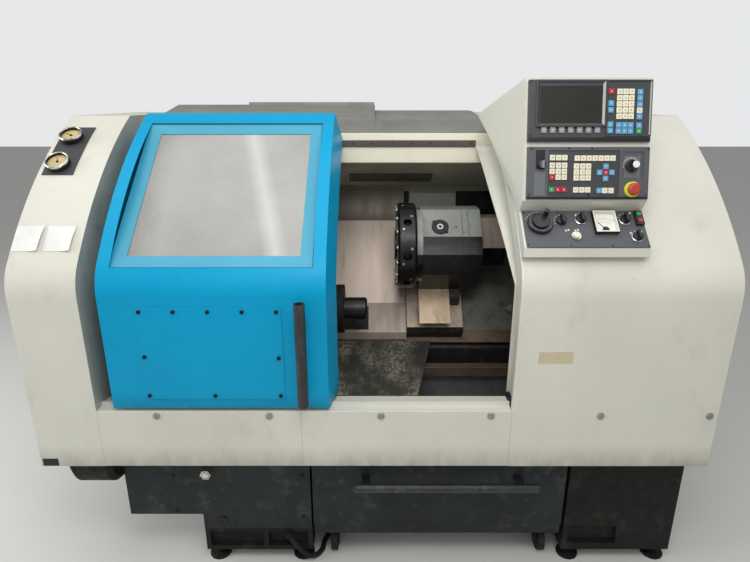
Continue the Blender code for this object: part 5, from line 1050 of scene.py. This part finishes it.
RAIL_FIRST = -0.8634
RAIL_SCREWS = 17


def tray_finish(piece):
    """Crust on the sloping shelf, brown oil on the flange that faces the door."""
    def flange(face):
        across = -0.3 < face.center.y < -0.2
        return across and FLANGE_Z[0] < face.center.z < FLANGE_Z[1] and face.center.x > FLANGE_LEFT

    paint_faces(piece, "crusted_sheet",
                lambda f: f.center.z > SHELF_LOW and f.normal.z > 0.5 and f.center.x < SHELF_RIGHT)
    paint_faces(piece, "browned_steel", flange)


def way_finish(piece):
    """Painted shade: darker where it stands upright and on the steeper foot."""
    paint_faces(piece, "shaded_upright_sheet", lambda f: f.center.z > WAY_UPRIGHT_LOW)
    paint_faces(piece, "shaded_foot_sheet",
                lambda f: f.center.z < WAY_FOOT_HIGH and f.normal.y < -0.74 and f.normal.z > 0.5)


def bed_finish(piece):
    """Brown oil on the shoulder of the bed, black oil below it."""
    paint_faces(piece, "oily_cast_iron", lambda f: f.center.z < SHOULDER_Z[1] and f.normal.y < -0.5)
    paint_faces(piece, "browned_steel", lambda f: SHOULDER_Z[0] < f.center.z < SHOULDER_Z[1] and f.normal.y < -0.5)


def housing_finish(piece):
    """Stainless cover over the drive motor, and black painted shade on the faces under the nose of the housing and
    under the cover.
    """
    def along(face):
        return (SLANT_BACK @ face.center).x

    def nose(face):
        low = (SLANT_BACK.to_3x3() @ face.normal).y < -0.2
        return along(face) < 0.432 and low and (SLANT_BACK @ face.center).z < HOUSING_TOP - 0.0001

    paint_faces(piece, "stainless_sheet", lambda f: along(f) > HOUSING_END)
    paint_faces(piece, "black_oxide", lambda f: nose(f) or along(f) > HOUSING_END and f.normal.z < -0.3)


def housing_seams():
    """Two joints across the housing, each in a piece for the slope and one for the top."""
    number = 0
    for x in SEAM_X:
        for low, high in zip(SEAM_OUTLINE, SEAM_OUTLINE[1:]):
            number += 1
            tilt = math.atan2(high[1] - low[1], high[0] - low[0])
            at = on(SLANT, x, *low) @ Matrix.Rotation(tilt, 4, "X")
            slab(f"housing_seam_{number}", "dark_paint", "cross_slide", (-0.0008, 0.0008), (0, math.dist(low, high)),
                 (-0.0005, 0.0004), at, 0.0002, 1)


def inner_details():
    """Plates, sights, screws and the lamp that are seen through the opening."""
    slab("wiper_plate", "oiled_bronze", "cross_slide", WIPER_X, WIPER_ALONG, (CROSS_TOP + SEAT, WIPER_TOP), SLANT,
         0.0008)
    places = [on(SLANT, *spot, WIPER_TOP) for spot in WIPER_SCREWS]
    copies(screw_model(0.0055, 0.003, socket=0.0028), "wiper_screws", "zinc_plate", "cross_slide", places)
    slab("saddle_back_plate", "galvanised_sheet", "carriage", *SADDLE_BACK, (0, 0.002), upright(SADDLE_BACK_FACE))
    # Painted shade: dark plates on the upright wall where it stands in shadow.
    for name, x in SHADE_WALLS.items():
        slab(f"shade_wall_{name}", "soot_and_shade_paint", "machine", x, SHADE_WALL_Z, (0, 0.0015), upright(SHADE_WALL_FACE))
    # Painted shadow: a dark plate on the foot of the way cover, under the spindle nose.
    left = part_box("way_cover")[0].x + 0.002
    slab("shadow_plate", "soot_and_shade_paint", "carriage", (left, SHADOW_PLATE_RIGHT), SHADOW_PLATE_ALONG, (0.0006, 0.002),
         face_frame(*SHADOW_PLATE_FOOT))
    at = on(SLANT, *LEVEL_PLACE, HOUSING_TOP)
    lathe("level_sight", "black_oxide", "cross_slide", LEVEL_SECTION, at)
    lathe("sight_ring", "white_print", "cross_slide", LEVEL_RING, at, 32)
    places = [on(at @ Matrix.Rotation(math.radians(turn), 4, "Z"), 0, LEVEL_R) for turn in (45, 225)]
    copies(screw_model(0.0065, 0.0045, socket=0.003), "sight_lugs", "black_oxide", "cross_slide", places)
    disc("housing_plug", "black_oxide", "cross_slide", HOUSING_PLUG, 0.0035, (HOUSING_TOP, HOUSING_TOP + 0.0006),
         SLANT, 0.0002, 20)
    housing_seams()
    under = face_frame(*ROOF_UNDER)
    surround("lamp_frame", "dark_moulding", "machine", LAMP_X, LAMP_U, (0.0005, 0.006), under, 0.004, 0.003)
    lens = [(low + LENS_EDGE, high - LENS_EDGE) for low, high in (LAMP_X, LAMP_U)]
    slab("lamp_lens", "lamp_glass", "machine", *lens, (0.0009, 0.003), under)
    slab("roof_lip", "shaded_roof_enamel", "machine", *ROOF_LIP, (0.0003, 0.003), under)
    rail = upright(RAIL_FACE)
    places = [on(rail, RAIL_FIRST + RAIL_PITCH * i, sum(RAIL_Z) / 2) for i in range(RAIL_SCREWS)]
    copies(screw_model(0.0032, 0.0006, socket=0.0018), "rail_screws", "black_oxide", "machine", places)


def inside():
    dress("spindle", "black_oxide")
    dress("headstock_casting", "soot_and_shade_paint")
    dress("bed_casting", "coolant_grey", paint=bed_finish)
    dress("chip_tray", "wet_and_shaded_sheet", paint=tray_finish)
    dress("way_cover", "stainless_sheet", paint=way_finish)
    dress("saddle", "oily_cast_iron", paint=lambda piece: paint_faces(
        piece, "oiled_slide", lambda f: (SLANT_BACK @ f.center).z > SADDLE_TOP - 0.001))
    dress("cross_slide", "oily_cast_iron")
    dress("turret_housing", "grey_paint", paint=housing_finish)
    dress("tailstock", "grey_paint")
    refinish("ground_steel", "tailstock_quill", "live_centre")
    refinish("soot_and_shade_paint", "spindle_motor")
    refinish("oily_cast_iron", "motor_pulley")
    refinish("rubber", "drive_belt")
    turret()
    inner_details()


# Pendant and console
DISPLAY_TOP = 0.014
OPERATOR_TOP = 0.010
FIELD_TOP = OPERATOR_TOP - 0.003
CONSOLE_TOP = 0.006
ESTOP_SPOT = (0.7894, 0.0337)
ESTOP_RING_R = 0.026
KEY_FIELD = ((0.53, 0.751), (0.011, 0.153))
KEY_TOP = 0.0035
KEY_CAP = 0.0166
KEY_MARK = (0.0038, 0.0032)


def grid(columns, rows):
    return [(x, u) for x in columns for u in rows]


# Places of the keys on the pendant's face, by their finish
DISPLAY_KEYS = {
    "cream_key": grid((0.739, 0.757, 0.775), (0.3254, 0.307, 0.289, 0.2708, 0.2526)) + [(0.8005, 0.2699)],
    "blue_key": (
        grid((0.739, 0.757, 0.775), (0.2265, 0.2088)) + grid((0.8005,), (0.3244, 0.3063, 0.2881, 0.2516, 0.2256))
        + grid((0.7135,), (0.2911, 0.2714, 0.2287, 0.2103))),
    "red_key": [(0.7135, 0.326)],
    "green_key": [(0.8005, 0.2088)],
    "dull_key": [(0.5126 + 0.0271 * i, 0.2113) for i in range(7)],
}
OPERATOR_KEYS = {
    "cream_key": (
        grid((0.5435,), (0.130, 0.1069, 0.0888)) + grid((0.5625, 0.581), (0.130, 0.1069, 0.0888, 0.071))
        + grid((0.618, 0.6367, 0.6547), (0.1045, 0.0866, 0.0688, 0.0325))
        + [(0.6195 + 0.01817 * i, 0.1285) for i in range(7)] + [(0.7075, 0.0305), (0.7265, 0.0305)]),
    "blue_key": [(0.7081, 0.1038), (0.6894, 0.0855), (0.7272, 0.0855), (0.7081, 0.0672), (0.690, 0.0305)],
    "red_key": [(0.5435, 0.071), (0.5625, 0.0335), (0.581, 0.0335), (0.7081, 0.0855)],
    "green_key": [(0.5435, 0.0335)],
}


def within(spot, spans):
    """Whether a spot of a face lies inside the spans of a plate."""
    (left, right), (low, high) = spans
    return left < spot.x < right and low < spot.y < high


def centred(width, height):
    """Spans of a plate about the middle of its face."""
    return (-width / 2, width / 2), (-height / 2, height / 2)


def key_caps(name, keys, base):
    """Caps and marks on the keys of a panel, one piece of each for each colour."""
    for finish_name, spots in keys.items():
        places = [on(PENDANT, x, u, base) for x, u in spots]
        cap = slab("cap", finish_name, "machine", *centred(KEY_CAP, KEY_CAP), (0.0006, KEY_TOP + 0.0004), edge=0.0009)
        copies(cap, f"{name}_{finish_name}s", finish_name, "machine", places)
        ink = "grey_cover" if finish_name == "cream_key" else "white_print"
        mark = slab("mark", ink, "machine", *centred(*KEY_MARK), (KEY_TOP, KEY_TOP + 0.0005), edge=0.00005, segments=1)
        copies(mark, f"{name}_{finish_name}_marks", ink, "machine", places)


def operator_finish(piece):
    """Darker field under the keys and a yellow ring under the stop button."""
    back = PENDANT.inverted()

    def field(face):
        spot = back @ face.center
        flat = (back.to_3x3() @ face.normal).z > 0.9
        return flat and spot.z < FIELD_TOP + 0.0005 and within(spot, KEY_FIELD)

    def ring(face):
        spot = back @ face.center
        return spot.z > OPERATOR_TOP + 0.0005 and math.dist(spot.xy, ESTOP_SPOT) < ESTOP_RING_R

    paint_faces(piece, "dark_moulding", field)
    paint_faces(piece, "yellow_ring", ring)


def pendant():
    dress("pendant_housing", "cream_enamel")
    dress("display_unit", "dark_moulding")
    key_caps("display", DISPLAY_KEYS, DISPLAY_TOP)
    dress("operator_panel", "grey_powder_coat", paint=operator_finish)
    key_caps("operator", OPERATOR_KEYS, FIELD_TOP)
    dress("console_panel", "grey_powder_coat", paint=console_finish)
    dress("estop_button", "red_mushroom")
    for i in range(4):
        dress(f"selector_{i + 1}", "phenolic_black_and_shade")
    dress("override_knob", "phenolic_black_and_shade")
    dress("handwheel", "phenolic_black_and_shade")
    dress("white_button", "cream_key")
    dress("green_button", "green_key")
    dress("red_button", "red_key")
    dress("key_switch", "phenolic_black_and_shade", paint=lambda piece: paint_faces(
        piece, "chrome_plate", lambda f: (PENDANT.inverted() @ f.center).z > LOCK_FACE))
    refinish("black_print_and_shade", "meter_needle")
    refinish("phenolic_black_and_shade", "isolator_handle")
    panel_details()


# Everything small that sits on the panels
BLACK_SCREWS = (
    (PENDANT, DISPLAY_TOP, ((0.4715, 0.356), (0.4715, 0.1955), (0.833, 0.1965))),
    (PENDANT, OPERATOR_TOP, (
        (0.4786, 0.157), (0.5928, 0.1585), (0.6636, 0.1575), (0.836, 0.156), (0.4748, 0.0178), (0.6577, 0.0165),
        (0.835, 0.0165))),
    (CONSOLE, CONSOLE_TOP, (
        (0.469, 0.1305), (0.576, 0.1315), (0.700, 0.1325), (0.828, 0.1345), (0.4693, 0.0092), (0.5996, 0.007),
        (0.7268, 0.007), (0.838, 0.006))),
)
SCREEN_FRAME = ((0.4875, 0.6995), (0.2215, 0.3605))
SCREEN = ((0.500, 0.6875), (0.2335, 0.343))
KEY_FRAME = ((0.7005, 0.838), (0.1935, 0.3605))
DISPLAY_SHADOW_STRIP = ((0.4665, 0.8375), (0.1785, 0.1900))
OPERATOR_FOOT = ((0.4675, 0.840), (0.0045, 0.0115))
LOCK_PLATE = ((0.4925, 0.5205), (0.0942, 0.1534))
LOCK_FACE = 0.0226
SLOT_COVER = ((0.4895, 0.522), (0.0156, 0.0873))
OVERRIDE_PLATE = ((0.7653, 0.814), (0.0693, 0.1355))
OVERRIDE = (0.786, 0.105)
OVERRIDE_CAP = (0.791, 0.108)
SELECTORS = ((0.584, 0.0975), (0.6461, 0.1034), (0.784, 0.1014), (0.8094, 0.0377))
SELECTOR_MARKS = ((110, 10, 5), (40, -50, 4), (60, -60, 5), (60, -40, 3))
SELECTOR_RIM = ((0.0164, 0), (0.0185, 0), (0.0182, 0.0022), (0.0168, 0.003), (0.0164, 0.003))
SYMBOLS = (
    (0.593, 0.062), (0.6015, 0.0645), (0.622, 0.062), (0.6305, 0.0645), (0.6335, 0.1215), (0.806, 0.1285),
    (0.793, 0.0535), (0.8255, 0.0575))
WHEEL_SPOT = (0.5152, 0.0858)
WHEEL_TOP = CONSOLE_TOP + SEAT + 0.014
METER_SPOT = (0.717, 0.064)
METER_FACE = ((0.6872, 0.7468), (0.0532, 0.1218))
METER_HUB_R = 0.0108
METER_FOOT = ((0.7062, 0.7278), (0.0534, 0.064))
METER_SWEEP = (42, -42)
METER_LOW = 0.0098


def marks(at, spot, radius, first, last, count, out):
    """Places for marks on an arc about a spot, with angles from straight up, in degrees."""
    middle = on(at, *spot, out)
    for k in range(count):
        turn = math.radians(first + (last - first) * k / (count - 1))
        yield on(middle @ Matrix.Rotation(turn, 4, "Z"), 0, radius)


def tick(length, width):
    return slab("tick", "white_print", "machine", *centred(width, length), (0, 0.00015), edge=0.00004, segments=1)


def panel_details():
    places = [on(at, x, u, out) for at, out, spots in BLACK_SCREWS for x, u in spots]
    copies(screw_model(0.0027, 0.0012, socket=0.0013), "pendant_screws", "black_oxide", "machine", places)
    display_seat = DISPLAY_TOP - 0.0002
    screen = surround("screen_surround", "dark_moulding", "machine", *SCREEN_FRAME, (display_seat, 0.019), PENDANT,
                      0.0045, 0.006)
    # Painted highlight: the right inner wall of the screen surround in light grey.
    paint_faces(screen, "highlight_grey", lambda f: f.normal.x < -0.3 and f.center.x > 0.6)
    slab("screen", "screen_glass", "machine", *SCREEN, (0.0141, 0.0152), PENDANT, 0.0005)
    field = surround("key_surround", "dark_moulding", "machine", *KEY_FRAME, (display_seat, 0.0175), PENDANT,
                     0.0035, 0.0025)
    # Painted highlight: the right inner wall of the key surround in light grey.
    paint_faces(field, "highlight_grey", lambda f: f.normal.x < -0.3 and 0.8 < f.center.x < 0.837)
    # Painted shade: a black strip along the lower edge of the display.
    slab("display_shadow_strip", "phenolic_black_and_shade", "machine", *DISPLAY_SHADOW_STRIP, (display_seat, 0.0145), PENDANT)
    slab("operator_foot", "phenolic_black_and_shade", "machine", *OPERATOR_FOOT, (0.0098, 0.0104), PENDANT)
    for name, finish_name, spans, low in (
        ("lock_plate", "phenolic_black_and_shade", LOCK_PLATE, OPERATOR_TOP - 0.0002),
        ("slot_cover", "grey_cover", SLOT_COVER, OPERATOR_TOP - 0.0002),
        ("override_plate", "grey_cover", OVERRIDE_PLATE, FIELD_TOP - 0.0002),
    ):
        slab(name, finish_name, "machine", *spans, (low, low + 0.0004), PENDANT, 0.0002)
    places = [at for spot, sweep in zip(SELECTORS, SELECTOR_MARKS)
              for at in marks(CONSOLE, spot, 0.0225, *sweep, CONSOLE_TOP)]
    places += marks(CONSOLE, WHEEL_SPOT, 0.0465, 62, -10, 7, CONSOLE_TOP)
    places += marks(PENDANT, OVERRIDE, 0.0245, 100, -40, 12, FIELD_TOP + 0.0002)
    copies(tick(0.0045, 0.0019), "panel_marks", "white_print", "machine", places)
    places = [on(CONSOLE, x, u, CONSOLE_TOP) for x, u in SYMBOLS]
    copies(tick(0.0062, 0.0058), "panel_symbols", "white_print", "machine", places)
    places = list(marks(CONSOLE, WHEEL_SPOT, 0.0345, 0, 351, 40, WHEEL_TOP))
    copies(tick(0.003, 0.0007), "wheel_marks", "white_print", "handwheel", places)
    disc("wheel_boss", "phenolic_black_and_shade", "handwheel", WHEEL_SPOT, 0.0255, (WHEEL_TOP - 0.001, WHEEL_TOP + 0.007),
         CONSOLE, 0.0015)
    disc("override_cap", "white_key", "override_knob", OVERRIDE_CAP, 0.0105, (0.0310, 0.0335), PENDANT, 0.001)
    for i, spot in enumerate(SELECTORS[1:]):
        lathe(f"selector_rim_{i + 2}", "chrome_plate", "machine", SELECTOR_RIM, on(CONSOLE, *spot, CONSOLE_TOP))
    hub = (METER_LOW, METER_LOW + 0.00045)
    slab("meter_face", "white_key", "machine", *METER_FACE, (METER_LOW, METER_LOW + 0.0004), CONSOLE, 0.0001)
    disc("meter_hub", "dark_moulding", "machine", METER_SPOT, METER_HUB_R, hub, CONSOLE, 0.0001)
    slab("meter_hub_foot", "dark_moulding", "machine", *METER_FOOT, hub, CONSOLE, 0.0001)
    places = list(marks(CONSOLE, METER_SPOT, 0.040, *METER_SWEEP, 25, 0.01015))
    places += marks(CONSOLE, METER_SPOT, 0.028, *METER_SWEEP, 19, 0.01015)
    copies(tick(0.0025, 0.0006), "meter_marks", "black_print_and_shade", "machine", places)


METER_CASE = ((0.680, 0.754), (0.046, 0.129))
METER_OPENING = ((0.6865, 0.7475), (0.0525, 0.1225))
TWIN_CASE = ((0.814, 0.841), (0.079, 0.133))
METER_RIM = 0.0219
METER_SIDE = 0.76
COLLAR = (0.6203, 0.0396)
COLLAR_R = 0.0155


def console_finish(piece):
    """Black meter case, twin-button case and a bright collar on the grey plate."""
    back = CONSOLE.inverted()

    def case(face):
        spot = back @ face.center
        return spot.z > CONSOLE_TOP + 0.0005 and (within(spot, METER_CASE) or within(spot, TWIN_CASE))

    def collar(face):
        spot = back @ face.center
        return spot.z > CONSOLE_TOP + 0.0005 and math.dist(spot.xy, COLLAR) < COLLAR_R

    def rim(face):
        spot = back @ face.center
        top = spot.z > METER_RIM and spot.x < METER_SIDE
        return spot.z > METER_LOW - 0.0003 and (within(spot, METER_OPENING) or top)

    paint_faces(piece, "phenolic_black_and_shade", case)
    paint_faces(piece, "chrome_plate", collar)
    paint_faces(piece, "white_key", rim)


# Back: panels, louvres, hinges and locks
LEAF_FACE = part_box("cabinet_door")[1].y
REAR_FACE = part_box("rear_cover")[1].y
REAR_PANELS = ((-0.87, -0.53), (-0.49, -0.15))
REAR_PANEL_Z = (0.62, 1.50)
REAR_PANEL_TOP = 0.002
REAR_SCREW_EDGE = 0.02
LOUVRES = 9
LOUVRE_PITCH = 0.022
REAR_LOUVRE_LOW = 0.72
LEAF_LOUVRE_PLACE = (-0.35, 0.36)
ISOLATOR_PLATE = ((-0.665, -0.575), (1.315, 1.445))
LOCK_X = -0.755
LOCK_Z = (0.60, 1.20)
LOCK_SECTION = (
    (0, 0.0003), (0.014, 0.0003), (0.014, 0.002), (0.012, 0.004), (0.005, 0.004), (0.005, 0.002), (0, 0.002))
HINGE_X = -0.0985
HINGE_Z = (0.45, 0.94, 1.43)
HINGE_SECTION = ((0, -0.04), (0.0045, -0.04), (0.0055, -0.038), (0.0055, 0.038), (0.0045, 0.04), (0, 0.04))


def louvres(name, body, length, back, x, low, out):
    """A column of pressed slats, open at their lower edges."""
    slat = slab("louvre", "rear_enamel", "machine", *centred(length, 0.014), (-0.001, 0.005), edge=0.0028, segments=3)
    places = [on(back, x, low + LOUVRE_PITCH * k, out) for k in range(LOUVRES)]
    copies(slat, name, "rear_enamel", body, places)


def rear_details():
    back = Matrix.Rotation(math.pi, 4, "Z") @ Matrix.Rotation(math.pi / 2, 4, "X")
    cover = Matrix.Translation((0, REAR_FACE, 0)) @ back
    low, high = REAR_PANEL_Z
    for i, (left, right) in enumerate(REAR_PANELS):
        slab(f"rear_panel_{i + 1}", "rear_enamel", "machine", (-right, -left), REAR_PANEL_Z, (0.0003, REAR_PANEL_TOP),
             cover, 0.0006)
        columns = (-left - REAR_SCREW_EDGE, -right + REAR_SCREW_EDGE)
        rows = (low + REAR_SCREW_EDGE, (low + high) / 2, high - REAR_SCREW_EDGE)
        places = [on(cover, *spot, REAR_PANEL_TOP) for spot in grid(columns, rows)]
        copies(screw_model(0.006, 0.003, slot=0.0016), f"rear_screws_{i + 1}", "zinc_plate", "machine", places)
        louvres(f"rear_louvres_{i + 1}", "machine", 0.20, cover, -(left + right) / 2, REAR_LOUVRE_LOW, REAR_PANEL_TOP)
    leaf = Matrix.Translation((0, LEAF_FACE, 0)) @ back
    louvres("cabinet_louvres", "cabinet_door", 0.26, leaf, *LEAF_LOUVRE_PLACE, 0)
    slab("isolator_plate", "yellow_ring", "cabinet_door", *ISOLATOR_PLATE, (-0.0002, 0.0002), leaf, 0.0001)
    for i, z in enumerate(LOCK_Z):
        lathe(f"cabinet_lock_{i + 1}", "zinc_plate", "cabinet_door", LOCK_SECTION, on(leaf, LOCK_X, z), 32)
    for i, z in enumerate(HINGE_Z):
        at = Matrix.Translation((HINGE_X, LEAF_FACE + 0.006, z))
        lathe(f"cabinet_hinge_{i + 1}", "zinc_plate", "cabinet_door", HINGE_SECTION, at, 24)


# Floor, sky and lamps
FLOOR_SIZE = 40
SKY_LIGHT = 0.42
SKY_SEEN = 0.9
# Each lamp's name, place, aim, size and power in watts
LAMPS = (
    ("ceiling_lamp", (0.0, -1.0, 3.6), (0, -1.0, 0), (4.5, 2.2), 46),
    ("front_fill", (-0.4, -4.4, 2.9), (0, -0.6, 1.0), (3.2, 2.0), 22),
    ("left_fill", (-4.4, -1.0, 2.3), (0.4, -0.5, 1.1), (2.6, 2.2), 98),
    ("right_fill", (3.4, -3.0, 2.2), (0.5, -0.5, 1.0), (2.4, 2.0), 9),
    ("opening_fill", (0.1, -2.1, 2.75), (0.12, 0.0, 1.05), (1.1, 0.7), 19),
)


def stage():
    bpy.ops.mesh.primitive_plane_add(size=FLOOR_SIZE)
    floor = bpy.context.object
    floor.name = "floor"
    material = bpy.data.materials.new("pale_floor")
    material.use_nodes = True
    shader = material.node_tree.nodes["Principled BSDF"]
    shader.inputs["Roughness"].default_value = 0.9
    shader.inputs["Base Color"].default_value = colour("D4D4D0")
    floor.data.materials.append(material)


def sky():
    """A dim pale sky that looks brighter than it lights."""
    world = bpy.data.worlds.new("studio")
    bpy.context.scene.world = world
    world.use_nodes = True
    tree = world.node_tree
    background = tree.nodes["Background"]
    ray = add(tree, "ShaderNodeLightPath")
    seen = add(tree, "ShaderNodeMath", {0: ray.outputs["Is Camera Ray"], 1: ray.outputs["Is Transmission Ray"]},
               operation="MAXIMUM").outputs[0]
    inputs = {"Value": seen, "To Min": SKY_LIGHT, "To Max": SKY_SEEN}
    background.inputs["Color"].default_value = colour("F2F3F4")
    tree.links.new(add(tree, "ShaderNodeMapRange", inputs).outputs["Result"], background.inputs["Strength"])


def lamps():
    for name, place, aim, size, power in LAMPS:
        lamp = bpy.data.lights.new(name, "AREA")
        lamp.shape = "RECTANGLE"
        lamp.size, lamp.size_y = size
        lamp.energy = power
        holder = bpy.data.objects.new(name, lamp)
        holder.location = place
        holder.rotation_euler = (Vector(aim) - Vector(place)).to_track_quat("-Z", "Y").to_euler()
        bpy.context.scene.collection.objects.link(holder)


hose()
covers()
screws()
gauges()
left_cover_items()
door()
inside()
pendant()
rear_details()
stage()
sky()
lamps()
bpy.context.scene.view_settings.view_transform = "Standard"
